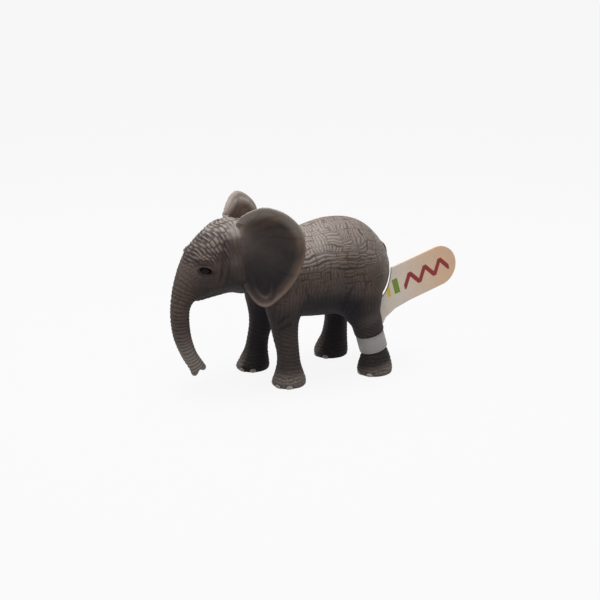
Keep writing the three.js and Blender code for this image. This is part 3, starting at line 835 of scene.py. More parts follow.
def paint_skin(clay):
    """Pale paint and painted highlight from above, warm tones on face, rump and feet, painted shade on the
    undersides.
    """
    points = clay.points
    soft = clay.soft_normals()
    upward, height = soft[:, 2], points[:, 2]
    head = head_share(points)
    legs = leg_share(points)
    down, length = down_spine(points)
    share = down / length
    tip = head * ease(0.7, 0.97, share)
    trunk = head * ease(0.45, 0.7, share)
    face = head * ease(0.2, 0.45, share) * ease(0.9, 0.5, share)
    rump = ease(14.0, 22.0, points[:, 0]) * (0.4 * ease(12.0, 24.0, height) + 0.6 * ease(27.0, 35.0, height))
    shin = points - SHIN_MIDDLE
    up_shin = shin @ SHIN_WAY
    # Just below the band, where its painted shadow falls on the shin
    below_band = ease(-10.0, -5.5, up_shin) * (np.linalg.norm(shin, axis=1) < 11.0)
    # The inner sides of the legs, which get painted shade
    inner = ease(0.1, 0.7, -np.sign(points[:, 1]) * soft[:, 1]) * legs
    feet = ease(6.5, 2.0, height) * legs
    outer_feet = feet * (1.0 - inner) * (1.0 - below_band)
    # Beside the ears' front edges, where the ears cast painted shade on the head
    beside_ear = head * ease(6.5, 1.5, ear_gap(points)) * ease(50.0, 46.0, height)

    # Pale paint and a painted highlight on all that faces up, most on the crown and the front of the back
    shoulders = ease(8.0, -12.0, points[:, 0]) * (1.0 - head)
    crown = head * (0.5 + 0.9 * ease(46.5, 51.5, height)) * (1.0 - 0.85 * beside_ear)
    sprayed = crown + (1.0 - head) * (0.54 + 0.85 * shoulders)
    clay.spray = ease(0.02, 0.87, upward) * (0.15 + 0.85 * ease(30.0, 45.0, height)) * sprayed

    # Painted shade on the sides and undersides, the belly, the legs' inner sides, under the band and beside the
    # ears
    between_legs = ease(13.0, 6.0, points[:, 0]) * ease(-13.0, -8.0, points[:, 0])
    belly = (1.0 - legs) * (1.0 - head) * ease(33.0, 23.0, height) * between_legs
    under = 0.15 * ease(0.6, 0.1, upward) + 0.6 * ease(0.1, -0.7, upward) + 0.3 * ease(31.0, 23.0, height)
    under = under + 0.6 * belly + 0.5 * below_band * ease(-2.4, -3.0, up_shin) + 0.2 * beside_ear
    clay.shade = np.clip(under + 0.83 * inner, 0.0, 1.0) * (1.0 - 0.8 * tip) * (1.0 - 0.6 * outer_feet)

    # Painted highlight on the rump: its folds less dark and its ridges paler
    clay.crease = clay.crease * (1.0 - 0.4 * rump)
    clay.raised = clay.raised + 0.5 * rump * (0.75 - clay.raised)
    patches = ease(-0.2, 0.5, layered(points, 4.0, 40))
    flank = (1.0 - head) * (1.0 - rump) * ease(24.0, 30.0, height)
    warm = 0.25 * head + 0.25 * face + rump + 0.6 * feet + 0.3 * tip + 0.2 * trunk + 0.55 * flank
    clay.brown = np.maximum(clay.brown, (0.4 + 0.6 * patches) * np.clip(warm, 0.0, 1.0))
    # Pale paint as a painted highlight on the trunk's tip, the outer feet, the rump and the flank
    painted_highlights = 0.65 * tip + 0.1 * trunk + 0.6 * outer_feet + 1.3 * rump * (0.6 + 0.4 * patches) + 0.08 * flank
    clay.spray = clay.spray + painted_highlights


@functools.cache
def moulding():
    """The sculpted and painted skin of body, head and legs, before it is cut into its mouldings."""
    settings = bpy.context.scene.calf_skin
    names = ["torso", "head", *(f"{leg}_leg" for leg in LEGS)]
    ear_sockets = [(EAR_SOCKET * (1.0, side, 1.0), EAR_SOCKET_RADIUS) for side in SIDES]
    clay = fresh_clay(names, 2 * settings.grain / MM, SKIN_GROW, ear_sockets)
    # Fills the grooves between the solids on body and neck, and smooths the whole and the feet
    body = (1.0 - head_share(clay.points)) * ease(12.0, 20.0, clay.points[:, 2])
    neck = ease(-34.0, -27.0, clay.points[:, 0]) * ease(30.0, 34.0, clay.points[:, 2])
    clay.relax(45, np.clip(body + 0.8 * neck, 0.0, 1.0), hold=0.0)
    clay.relax(10)
    feet = ease(3.6, 2.6, clay.points[:, 2])
    clay.relax(25, feet)
    clay = finer(clay)
    shape_body(clay)
    shape_head(clay)
    swell_to_ears(clay)
    # Softens the back of the head, and the skin beside the ears' front edges
    clay.relax(14, head_share(clay.points) * ease(-38.0, -35.0, clay.points[:, 0]))
    clay.relax(20, bump(ear_gap(clay.points), 3.0), hold=0.9)
    shape_legs(clay)
    carve_body(clay, settings)
    carve_head(clay, settings)
    carve_legs(clay)
    shape_nails(clay)
    shape_tip(clay)
    shape_eyes(clay)
    clay.points[:, 2] = np.maximum(clay.points[:, 2], 0.0)
    clay.refresh()
    paint_skin(clay)
    clay.store()
    return clay.mesh


# Cutting the skin at the joint planes


def close_holes(work):
    """Caps each open loop with a flat face, kept sharp so that the skin beside it stays smooth."""
    rims = [edge for edge in work.edges if edge.is_boundary]
    for edge in rims:
        edge.smooth = False
    made = bmesh.ops.holes_fill(work, edges=rims, sides=0)["faces"]
    for face in made:
        face.smooth = False


def slice_plane(work, faces, point, way, clear):
    """Cuts faces along a plane, and drops what lies beyond it where clear is true."""
    edges = {edge for face in faces for edge in face.edges}
    verts = {vert for face in faces for vert in face.verts}
    geometry = [*verts, *edges, *faces]
    place = Vector(point) * MM
    bmesh.ops.bisect_plane(work, geom=geometry, plane_co=place, plane_no=Vector(way), clear_outer=clear)


def opened():
    """The whole skin, ready to be cut."""
    work = bmesh.new()
    work.from_mesh(moulding())
    for face in work.faces:
        face.smooth = True
    return work


def faces_at_hip(work, leg):
    """The faces round the top of a leg, each with its middle in millimetres."""
    x = joint_plane(leg)[0][0]
    for face in work.faces:
        middle = np.array(face.calc_center_median()) / MM
        if abs(middle[0] - x) < HIP_REACH and side_of(leg) * middle[1] > 0:
            yield face, middle


def cut_torso():
    """The barrel: all behind the neck's plane and above the legs' planes."""
    work = opened()
    slice_plane(work, work.faces, NECK_POINT, -NECK_WAY, True)
    for leg in LEGS:
        point, way = joint_plane(leg)
        low = [face for face, middle in faces_at_hip(work, leg) if middle[2] < HIP_TOP]
        slice_plane(work, low, point, way, False)
        below = [face for face, middle in faces_at_hip(work, leg) if (middle - point) @ way < 0]
        bmesh.ops.delete(work, geom=below, context="FACES")
    close_holes(work)
    return mesh_of(work, "torso_skin")


def cut_head():
    """The head with its trunk: all before the neck's plane."""
    work = opened()
    slice_plane(work, work.faces, NECK_POINT, NECK_WAY, True)
    close_holes(work)
    return mesh_of(work, "head_skin")


def cut_leg(leg):
    """One leg: all below its plane."""
    work = opened()
    point, way = joint_plane(leg)
    beyond = []
    for vert in work.verts:
        x, y, _ = vert.co / MM
        if abs(x - point[0]) > HIP_REACH or side_of(leg) * y < 0 or x < -26.0:
            beyond.append(vert)
    bmesh.ops.delete(work, geom=beyond, context="VERTS")
    slice_plane(work, work.faces, point, way, True)
    close_holes(work)
    return mesh_of(work, f"{leg}_leg_skin")


# Materials


class Tree:
    """Short ways to add nodes to a material or a group."""

    def __init__(self, tree):
        self.tree = tree

    def fill(self, node, inputs):
        """Links or sets inputs of a node."""
        for label, value in inputs.items():
            if isinstance(value, bpy.types.NodeSocket):
                self.tree.links.new(value, node.inputs[label])
            elif value is not None:
                node.inputs[label].default_value = value

    def node(self, kind, inputs=None, **settings):
        made = self.tree.nodes.new(f"ShaderNode{kind}")
        for key, value in settings.items():
            setattr(made, key, value)
        self.fill(made, inputs or {})
        return made

    def maths(self, operation, a, b=None):
        return self.node("Math", {0: a, 1: b}, operation=operation).outputs[0]

    def product(self, *factors):
        return functools.reduce(functools.partial(self.maths, "MULTIPLY"), factors)

    def total(self, a, b):
        return self.maths("ADD", a, b)

    def mix(self, share, a, b):
        """The colour a with a share of the colour b."""
        return self.node("Mix", {0: share, 6: a, 7: b}, data_type="RGBA").outputs[2]

    def span(self, value, low, high, new_low=0.0, new_high=1.0):
        """new_low at low and new_high at high, smooth between them."""
        inputs = dict(enumerate((value, low, high, new_low, new_high)))
        return self.node("MapRange", inputs, interpolation_type="SMOOTHSTEP").outputs[0]

    def noise(self, place, scale, detail):
        inputs = {"Vector": place, "Scale": scale, "Detail": detail, "Roughness": 0.55}
        return self.node("TexNoise", inputs).outputs["Fac"]

    def place(self):
        """The place on the object, in metres."""
        return self.node("TexCoord").outputs["Object"]

    def attribute(self, name):
        return self.node("Attribute", attribute_name=name).outputs

    def use(self, group, **inputs):
        return self.node("Group", inputs, node_tree=group).outputs


def shader_group(name, inputs, outputs):
    """An empty node group with named sockets: the group, its tree, what it is given and what it puts out."""
    group = bpy.data.node_groups.new(name, "ShaderNodeTree")
    for label, kind, default in inputs:
        socket = group.interface.new_socket(name=label, in_out="INPUT", socket_type=f"NodeSocket{kind}")
        if default is not None:
            socket.default_value = default
    for label, kind in outputs:
        group.interface.new_socket(name=label, in_out="OUTPUT", socket_type=f"NodeSocket{kind}")
    return group, Tree(group), group.nodes.new("NodeGroupInput").outputs, group.nodes.new("NodeGroupOutput")


@functools.cache
def grain_group():
    """Pores and fine cracks of a moulded surface, as a height and as a mottling value."""
    group, tree, given, leave = shader_group(
        "moulded_grain",
        (("Place", "Vector", None), ("Pores", "Float", 1.0), ("Cracks", "Float", 1.0)),
        (("Height", "Float"), ("Mottle", "Float")),
    )
    place = given["Place"]
    pores = tree.product(tree.noise(place, 2600.0, 4.0), given["Pores"])
    edges = tree.node("TexVoronoi", {"Vector": place, "Scale": 1150.0}, feature="DISTANCE_TO_EDGE")
    cracks = tree.product(tree.span(edges.outputs["Distance"], 0.0, 0.14), given["Cracks"])
    wide = tree.product(tree.noise(place, 170.0, 3.0), 0.65)
    fine = tree.product(tree.noise(place, 900.0, 2.0), 0.35)
    tree.fill(leave, {
        "Height": tree.total(tree.product(pores, 0.6), cracks),
        "Mottle": tree.total(wide, fine),
    })
    return group


@functools.cache
def paint_group():
    """Vinyl paint in coats: base, warm patches, pale paint and painted highlight from above, dark paint and
    painted shade in folds and below.
    """
    paints = [(label, "Color", None) for label in ("Base", "Warm", "Pale", "Wash", "Nail", "Masks")]
    values = (("Nails", 0.0), ("Raised", 0.5), ("Shade", 0.0), ("Mottle", 0.5))
    inputs = paints + [(label, "Float", default) for label, default in values]
    outputs = (("Color", "Color"), ("Roughness", "Float"))
    group, tree, given, leave = shader_group("coats_of_paint", inputs, outputs)
    crease, spray, warm = tree.node("SeparateColor", {0: given["Masks"]}).outputs
    mottle = tree.span(given["Mottle"], 0.35, 0.65)
    base = tree.mix(tree.product(mottle, 0.25), given["Base"], given["Wash"])
    base = tree.mix(tree.product(warm, tree.total(0.45, tree.product(mottle, 0.4))), base, given["Warm"])
    base = tree.mix(tree.product(tree.span(given["Raised"], 0.55, 0.95), 0.35), base, given["Warm"])
    # Painted shade on the undersides and the inner sides of the legs
    base = tree.mix(tree.product(given["Shade"], 0.88), base, given["Wash"])
    # Pale paint and painted highlight on what faces up, most on the ridges
    dry = tree.span(given["Raised"], 0.35, 0.85, 0.45, 1.0)
    dust_and_highlight = tree.product(spray, dry, tree.span(given["Mottle"], 0.3, 0.6, 0.78, 1.0))
    tanned = tree.mix(tree.product(mottle, 0.35), given["Pale"], given["Warm"])
    coat = tree.mix(dust_and_highlight, base, tanned)
    # Dark paint and painted shade in the folds, less where the pale paint lies
    coat = tree.mix(tree.product(crease, tree.span(dust_and_highlight, 0.0, 1.0, 0.75, 0.4)), coat, given["Wash"])
    tree.fill(leave, {
        "Color": tree.mix(given["Nails"], coat, given["Nail"]),
        "Roughness": tree.total(0.52, tree.product(given["Mottle"], 0.26)),
    })
    return group


def material(name):
    made = bpy.data.materials.new(name)
    made.use_nodes = True
    return made, Tree(made.node_tree), made.node_tree.nodes["Principled BSDF"]


def bumped(tree, height, distance, strength):
    """A normal that shows a height without moving the mesh."""
    inputs = {"Strength": strength, "Distance": distance, "Height": height}
    return tree.node("Bump", inputs).outputs["Normal"]


@functools.cache
def painted_vinyl():
    """Soft vinyl in its coats of paint, which follow the masks of the sculpted mesh."""
    colours = bpy.context.scene.calf_paint
    made, tree, shader = material("painted_vinyl")
    grain = tree.use(grain_group(), Place=tree.place(), Pores=0.8, Cracks=0.08)
    masks = tree.attribute("paint")
    coats = tree.use(
        paint_group(),
        Base=(*colours.base, 1.0),
        Warm=(*colours.warm, 1.0),
        Pale=(*colours.pale, 1.0),
        Wash=(*colours.wash_and_shade, 1.0),
        Nail=(*colours.nail, 1.0),
        Masks=masks["Color"],
        Nails=masks["Alpha"],
        Raised=tree.attribute("raised")["Fac"],
        Shade=tree.attribute("shade")["Fac"],
        Mottle=grain["Mottle"],
    )
    tree.fill(shader, {
        "Base Color": coats["Color"],
        "Roughness": coats["Roughness"],
        "Specular IOR Level": 0.12,
        "Normal": bumped(tree, grain["Height"], 0.06 * MM, 0.8),
    })
    return made


@functools.cache
def eye_gloss():
    """Nearly black gloss paint with a breath of brown."""
    colours = bpy.context.scene.calf_paint
    made, tree, shader = material("eye_gloss")
    streaks = tree.noise(tree.place(), 3200.0, 2.0)
    dark = (*[0.4 * value for value in colours.iris], 1.0)
    tree.fill(shader, {
        "Base Color": tree.mix(streaks, (*colours.iris, 1.0), dark),
        "Roughness": tree.span(streaks, 0.3, 0.7, 0.08, 0.14),
        "Specular IOR Level": 0.12,
    })
    return made


@functools.cache
def printed_card():
    """White card with painted warm light towards its round end, and a zigzag and two bars printed on its flat
    part.
    """
    settings = bpy.context.scene.calf_tag
    made, tree, shader = material("printed_card")
    along, up, printed = tree.node("SeparateXYZ", {0: tree.attribute("card_place")["Vector"]}).outputs
    grain = tree.use(grain_group(), Place=tree.place(), Pores=0.6, Cracks=0.0)

    def stripe(value, middle, half):
        """1 where a value is less than half away from a middle."""
        return tree.maths("LESS_THAN", tree.maths("ABSOLUTE", tree.maths("SUBTRACT", value, middle)), half)

    def within(low, high):
        """1 between two places along the flat part, on the print's height."""
        between = tree.product(tree.maths("GREATER_THAN", along, low), tree.maths("LESS_THAN", along, high))
        return tree.product(between, stripe(up, 0.0, PRINT_HALF), printed)

    # Painted warm light on the flat part, growing towards its round end
    face = tree.mix(tree.span(along, *WARM_LIGHT_SPAN), (*settings.card, 1.0), (*settings.tan, 1.0))
    # The band in painted shade
    face = tree.mix(printed, (*settings.reverse, 1.0), face)
    card = tree.mix(tree.span(grain["Mottle"], 0.3, 0.7, 0.0, 0.12), face, FIBRE)
    tooth = tree.maths("PINGPONG", tree.maths("SUBTRACT", along, ZIGZAG[0]), TOOTH)
    middle = tree.maths("SUBTRACT", tree.product(tooth, TOOTH_SLOPE), TOOTH / 2 * TOOTH_SLOPE)
    zigzag = tree.product(stripe(up, middle, ZIGZAG_HALF), within(*ZIGZAG))
    card = tree.mix(zigzag, card, (*settings.red, 1.0))
    card = tree.mix(within(*GREEN_BAR), card, (*settings.green, 1.0))
    card = tree.mix(within(*YELLOW_BAR), card, (*settings.yellow, 1.0))
    tree.fill(shader, {
        "Base Color": card,
        "Roughness": tree.span(grain["Mottle"], 0.2, 0.8, 0.45, 0.6),
        "Normal": bumped(tree, grain["Height"], 0.02 * MM, 0.5),
    })
    return made


# Settings


def plain_setting(name, description, value):
    return FloatProperty(name=name, description=description, default=value)


def length_setting(name, description, value):
    """A length, given in millimetres."""
    return FloatProperty(name=name, description=description, default=value * MM, unit="LENGTH", precision=5)


def colour_setting(name, description, value):
    return FloatVectorProperty(name=name, description=description, default=value, subtype="COLOR")


def angle_setting(name, description, value):
    """An angle, given in degrees."""
    return FloatProperty(name=name, description=description, default=math.radians(value), subtype="ANGLE")


class CalfSkin(bpy.types.PropertyGroup):
    grain: length_setting("Grain", "Edge length of the finished skin mesh", 0.26)
    fold_pitch: length_setting("Fold pitch", "From one short fold of the flank to the next", 0.95)
    fold_depth: length_setting("Fold depth", "Depth of the flank's folds", 0.2)
    row_height: length_setting("Row height", "Height of a row of folds on the flank", 2.4)
    scale_size: length_setting("Scale size", "Width of the rump's scales", 0.95)
    ring_pitch: length_setting("Ring pitch", "From one ring of the trunk to the next", 1.12)
    ring_depth: length_setting("Ring depth", "Depth of the trunk's rings", 0.34)
    stroke_pitch: length_setting("Stroke pitch", "From one stroke of the forehead to the next", 0.78)
    stroke_depth: length_setting("Stroke depth", "Depth of the forehead's strokes", 0.26)


class CalfPaint(bpy.types.PropertyGroup):
    base: colour_setting("Base coat", "Dark grey brown vinyl", (0.084, 0.064, 0.058))
    warm: colour_setting("Warm coat", "Brown on face, ears, rump and feet", (0.165, 0.101, 0.068))
    # Pale paint and painted highlight on all that faces up
    pale: colour_setting("Pale spray", "Dusty paint on all that faces up", (0.35, 0.315, 0.288))
    # Dark paint and painted shade in the folds, painted shade on the undersides
    wash_and_shade: colour_setting("Dark wash", "Paint in the folds and on the undersides", (0.0115, 0.0108, 0.0145))
    nail: colour_setting("Toenails", "Pale horn of the toenails", (0.6, 0.55, 0.49))
    iris: colour_setting("Eyes", "Nearly black paint of the eyes", (0.009, 0.007, 0.008))


class CalfTag(bpy.types.PropertyGroup):
    card: colour_setting("Card", "Printed side near the shin", (0.79, 0.7, 0.61))
    # Painted warm light on the printed side at the round end
    tan: colour_setting("Tanned end", "Printed side at the round end", (0.79, 0.52, 0.34))
    # Painted shade on the band, which lies in the body's shadow
    reverse: colour_setting("Reverse", "Bare side of the card, on the band", (0.335, 0.31, 0.295))
    red: colour_setting("Red ink", "Zigzag", (0.28, 0.018, 0.017))
    green: colour_setting("Green ink", "Wide bar", (0.17, 0.28, 0.016))
    yellow: colour_setting("Yellow ink", "Narrow bar", (0.75, 0.55, 0.05))
    thickness: length_setting("Band thickness", "Thickness of the card band", 0.36)
    bend: length_setting("Bend", "How far the end of the flat part bends", 0.5)


class CalfStage(bpy.types.PropertyGroup):
    azimuth: angle_setting("Azimuth", "Camera angle round the calf from its left flank", -26.0)
    elevation: angle_setting("Elevation", "Camera angle above the floor", 17.0)
    distance: length_setting("Distance", "From the camera to the point it aims at", 360.0)
    key: plain_setting("Overhead lamp", "Power of the lamp over the calf, in watts", 1.15)
    fill: plain_setting("Room light", "Strength of the light from all round", 0.62)


# Pieces


def placed(name, mesh, finish, node, body=BODY):
    """A finished piece that stands for a CAD node."""
    obj = linked(name, mesh)
    mesh.materials.clear()
    mesh.materials.append(finish)
    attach(obj, body)
    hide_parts(node)


def place_skin(mesh, node):
    placed(f"{node}_skin", mesh, painted_vinyl(), node)


def smooth(mesh):
    mesh.polygons.foreach_set("use_smooth", [True] * len(mesh.polygons))
    return mesh


class CALF_OT_torso(bpy.types.Operator):
    """Makes the barrel of the body"""

    bl_idname = "calf.torso"
    bl_label = "Torso"

    def execute(self, context):
        place_skin(cut_torso(), "torso")
        return {"FINISHED"}


class CALF_OT_head(bpy.types.Operator):
    """Makes the head with the trunk"""

    bl_idname = "calf.head"
    bl_label = "Head and trunk"

    def execute(self, context):
        place_skin(cut_head(), "head")
        return {"FINISHED"}


class CALF_OT_legs(bpy.types.Operator):
    """Makes the four legs with their toenails"""

    bl_idname = "calf.legs"
    bl_label = "Legs"

    def execute(self, context):
        for leg in LEGS:
            place_skin(cut_leg(leg), f"{leg}_leg")
        return {"FINISHED"}


def ear_places(clay, side):
    """Each point's place on its ear: out, up, facing outwards, share of the way to the rim, turn round it."""
    out, up = ear_axes(clay.points, side)
    aside = out - EAR_MIDDLE[0]
    above = up - EAR_MIDDLE[1]
    turn = np.arctan2(above, aside)
    reach = np.hypot(above, aside)
    place = (turn + math.pi) / (2 * math.pi) * EAR_SECTORS
    sector = np.minimum(place.astype(int), EAR_SECTORS - 1)
    rim = np.array([reach[sector == k].max(initial=1.0) for k in range(EAR_SECTORS)])
    low = np.floor(place - 0.5).astype(int)
    part = place - 0.5 - low
    edge = rim[low % EAR_SECTORS] * (1 - part) + rim[(low + 1) % EAR_SECTORS] * part
    return out, up, clay.normals @ ear_outward(side), reach / edge, turn


@functools.cache
def skin_tree():
    """The sculpted skin, ready to be hit by rays."""
    work = bmesh.new()
    work.from_mesh(moulding())
    tree = BVHTree.FromBMesh(work)
    work.free()
    return tree


def seat_ear(clay, outward, facing, border):
    """Lets the outer face of an ear flow out of the cheek in a soft hollow, and sinks its border."""
    width = 1.6
    run_up = 12.0
    way = Vector(-outward)
    front = ease(-0.2, 0.4, clay.spread(clay.spread(facing)))
    rise = np.zeros(len(front))
    for index in np.nonzero(((front > 0.0) | (border > 0.0)) & (clay.points[:, 2] > EAR_ROOT[2] - 9.0))[0]:
        start = Vector(clay.points[index] + run_up * outward) * MM
        hit = skin_tree().ray_cast(start, way, 2 * run_up * MM)[0]
        if hit is None:
            continue
        lift = np.array(hit) @ outward / MM - 0.05 - clay.points[index] @ outward
        if -width < lift < 2.6:
            share = min(1.0, 0.5 + 0.5 * lift / width)
            hollow = width * share * (1.0 - share)
            rise[index] = (share * lift + hollow) * front[index] * ease(2.6, 1.2, lift)
        sunk = max(min(rise[index], lift - 0.4), rise[index] - 1.0)
        rise[index] += border[index] * (sunk - rise[index])
    rise = rise * ease(-8.5, -6.0, clay.points[:, 2] - EAR_ROOT[2])
    clay.shift(outward * rise[:, None])


def fold_ear(clay, out, up, front):
    """A soft fold that curls round the foot of an ear."""
    fold = smooth_line([(a, b, 0.0) for a, b in EAR_FOLD], 24)
    gap, along = line_distance(np.stack([out, up, 0.0 * up], axis=1), fold)
    fade = ease(0.0, 0.2, along) * ease(1.0, 0.75, along) * front
    clay.push(0.3 * fade * (bump(gap, 0.6) - 0.4 * bump(gap - 1.15, 0.5)))
    # Dark paint and painted shade in the fold
    clay.crease = np.maximum(clay.crease, 0.6 * fade * bump(gap - 1.05, 0.45))
    clay.raised = np.maximum(clay.raised, 0.5 + 0.2 * fade * bump(gap, 0.5))


def paint_ear(clay, up, share, front, back, ahead):
    """A brown rim, paler at its top with a painted highlight, round a dish in painted shade, and a brown back.
    """
    rim = ease(0.7, 0.93, share) * (1.0 - ahead * ease(10.0, 6.0, up))
    top = ease(-1.0, 9.0, up)
    high = ease(3.0, 9.0, up)
    patches = ease(-0.4, 0.4, layered(clay.points, 3.2, 55))
    # Pale paint and a painted highlight on the rim, most at its top, and on all that faces up
    rim_dust_and_highlight = rim * (0.14 + 0.86 * high) * (0.75 + 0.25 * patches)
    edge = ease(0.9, 1.0, share) * rim
    clay.raised = np.maximum(clay.raised, 0.5 + 0.3 * rim * high)
    clay.spray = 0.25 * ease(0.1, 0.9, clay.normals[:, 2]) + rim_dust_and_highlight + edge * (0.15 + 0.2 * top)
    brown_rim = rim * (0.85 + 0.15 * patches) + 0.8 * top * patches * front * ease(0.35, 0.8, share)
    brown_foot = 0.35 * patches * ease(-4.0, -9.0, up) * front
    brown_back = (0.6 + 0.4 * patches) * back * ease(0.98, 0.85, share)
    clay.brown = np.maximum.reduce([brown_rim, brown_foot, brown_back])
    # Painted shade in the dish and on the ear's foot
    deep = np.maximum(ease(0.95, 0.65, share), 0.8 * ahead * ease(9.0, 5.0, up))
    clay.shade = 0.42 * front * deep + 0.5 * ease(2.0, -8.0, up) * ease(1.0, 0.9, share)


def sculpt_ear(name):
    """One ear: a dished plate that grows from the cheek, with an uneven rolled rim and a fold at its foot."""
    side = side_of(name)
    outward = ear_outward(side)
    clay = fresh_clay([name], EAR_GRAIN, EAR_GROW)
    clay.relax(14)
    clay = finer(clay)
    out, up, facing, share, turn = ear_places(clay, side)
    front = ease(-0.1, 0.4, facing)
    ahead = ease(1.75, 2.3, np.abs(turn))
    free = 1.0 - ahead
    # Noise on a circle has no seam
    round_rim = 3.4 * np.stack([np.cos(turn), np.sin(turn), 0.0 * turn], axis=1)
    wave = 0.6 * rough(round_rim, 1.3, 50) * ease(0.6, 1.0, share) * free
    sunk = 0.5 * ahead * ease(0.6, 1.0, share)
    clay.shift(outward * (wave - sunk)[:, None])
    seat_ear(clay, outward, facing, ahead * ease(0.74, 0.94, share) * ease(10.5, 8.0, up))
    uneven = 0.75 + 0.5 * rough(round_rim, 0.7, 56)
    roll = bump(share - 0.96, 0.04) - 0.6 * bump(share - 0.89, 0.04)
    clay.push(0.24 * roll * free * uneven)
    fan = np.arctan2(up - 5.0, out + 3.0)
    veins = folds(fan * 4.4 + 0.6 * rough(clay.points, 6.0, 51), 0.9)
    clay.carve(veins, 0.12, ease(0.25, 0.5, share) * ease(1.0, 0.85, share) * 0.5 * free)
    fold_ear(clay, out, up, front)
    clay.relax(8, ease(0.8, 0.95, share))
    paint_ear(clay, up, share, front, ease(0.1, -0.4, facing), ahead)
    return smooth(clay.store())


class CALF_OT_ears(bpy.types.Operator):
    """Makes the two ears"""

    bl_idname = "calf.ears"
    bl_label = "Ears"

    def execute(self, context):
        for name in EARS:
            place_skin(sculpt_ear(name), name)
        return {"FINISHED"}


def sculpt_tail():
    """A ringed stem with a tuft of hair."""
    clay = fresh_clay(["tail"], TAIL_GRAIN)
    clay.relax(10)
    clay = finer(clay)
    points = clay.points
    low, high = node_box("tail")
    share = (points[:, 2] - low[2]) / (high[2] - low[2])
    stem = ease(0.26, 0.34, share)
    clay.carve(folds(points[:, 2] / 0.85 + 0.3 * rough(points, 1.2, 60), 0.5), 0.1, stem)
    levels = np.linspace(0.0, 1.0, 11)
    middle = np.array([points[np.abs(share - level) < 0.05].mean(axis=0) for level in levels])
    centre = np.stack([np.interp(share, levels, middle[:, k]) for k in range(2)], axis=1)
    turn = np.arctan2(points[:, 1] - centre[:, 1], points[:, 0] - centre[:, 0])
    hairs = folds(turn * 9 / math.pi + 0.8 * share + 0.2 * rough(points, 1.0, 61), 0.6)
    clay.carve(hairs, 0.2, 1.0 - stem)
    clay.brown = 0.3 * stem
    # Pale paint and a painted highlight on what faces up
    clay.spray = 0.35 * ease(0.2, 0.9, clay.normals[:, 2]) + 0.1
    return smooth(clay.store())


class CALF_OT_tail(bpy.types.Operator):
    """Makes the tail with its tuft"""

    bl_idname = "calf.tail"
    bl_label = "Tail"

    def execute(self, context):
        place_skin(sculpt_tail(), "tail")
        return {"FINISHED"}


def eye_bead(name):
    """An oval bead in the middle of its CAD node."""
    low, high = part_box(name)
    middle, radius = (low + high) / 2, (high - low)[0] / 2
    work = bmesh.new()
    shape = Matrix.Translation(middle) @ Matrix.Diagonal(BEAD_SHAPE)
    bmesh.ops.create_icosphere(work, subdivisions=5, radius=radius, matrix=shape)
    return smooth(mesh_of(work, f"{name}_bead"))


class CALF_OT_eyes(bpy.types.Operator):
    """Makes the two gloss eyes"""

    bl_idname = "calf.eyes"
    bl_label = "Eyes"

    def execute(self, context):
        for name in EYES:
            placed(f"{name}_bead", eye_bead(name), eye_gloss(), name)
        return {"FINISHED"}


# The tag


def tag_matrix():
    """From the tag's own millimetres, its shin along Z and its flat part along X, to the figure's metres."""
    z = Vector(SHIN_WAY).normalized()
    y = Vector((0.0, 1.0, 0.0))
    x = y.cross(z).normalized()
    turn = Matrix((x, y, z)).transposed().to_4x4()
    return Matrix.Translation(Vector(SHIN_MIDDLE) * MM) @ turn @ Matrix.Scale(MM, 4)


def paddle_outline(back):
    """The flat part as one face, from the faces of the CAD tag that lie on its outer plane."""
    work = bmesh.new()
    work.from_mesh(frame["nodes"]["tag"].data)
    bmesh.ops.transform(work, matrix=back, verts=work.verts)
    bmesh.ops.remove_doubles(work, verts=work.verts, dist=0.002)
    inside = PADDLE_PLANE - 0.02
    off = [face for face in work.faces if face.normal.y < 0.99 or face.calc_center_median().y < inside]
    bmesh.ops.delete(work, geom=off, context="FACES")
    bmesh.ops.dissolve_faces(work, faces=work.faces, use_verts=False)
    return work


def cut_in_strips(work, pitch=1.0):
    """Cuts a flat face into a fine net, so that it can bend."""
    xs = [vert.co.x for vert in work.verts]
    zs = [vert.co.z for vert in work.verts]
    for low, high, way in ((min(xs), max(xs), (1, 0, 0)), (min(zs), max(zs), (0, 0, 1))):
        for i in range(1, int((high - low) / pitch) + 1):
            place = Vector(way) * (low + i * pitch)
            geometry = [*work.verts, *work.edges, *work.faces]
            bmesh.ops.bisect_plane(work, geom=geometry, plane_co=place, plane_no=way)


def paddle_mesh(back):
    """The flat part with its thickness and softly bevelled edges."""
    work = paddle_outline(back)
    cut_in_strips(work)
    sheet = linked("paddle", mesh_of(work, "paddle"))
    plate = linked("paddle", evaluated(sheet, type="SOLIDIFY", thickness=PADDLE_THICKNESS, offset=-1.0))
    return evaluated(plate, type="BEVEL", width=0.09, segments=2, limit_method="ANGLE")


def strip_path(thickness):
    """The middle line of the band: round the shin and over its own start, then along the flat part."""
    radius = BAND_INNER + thickness / 2
    turns = np.radians(np.linspace(90.0, 450.0, 97))
    radii = radius + BAND_LAP * ease(np.radians(380.0), np.radians(450.0), turns)
    loop = np.stack([radii * np.cos(turns), radii * np.sin(turns)], axis=1)
    end = [(x, radius + BAND_LAP) for x in np.linspace(0.4, 5.2, 10)]
    return np.vstack([loop, end])


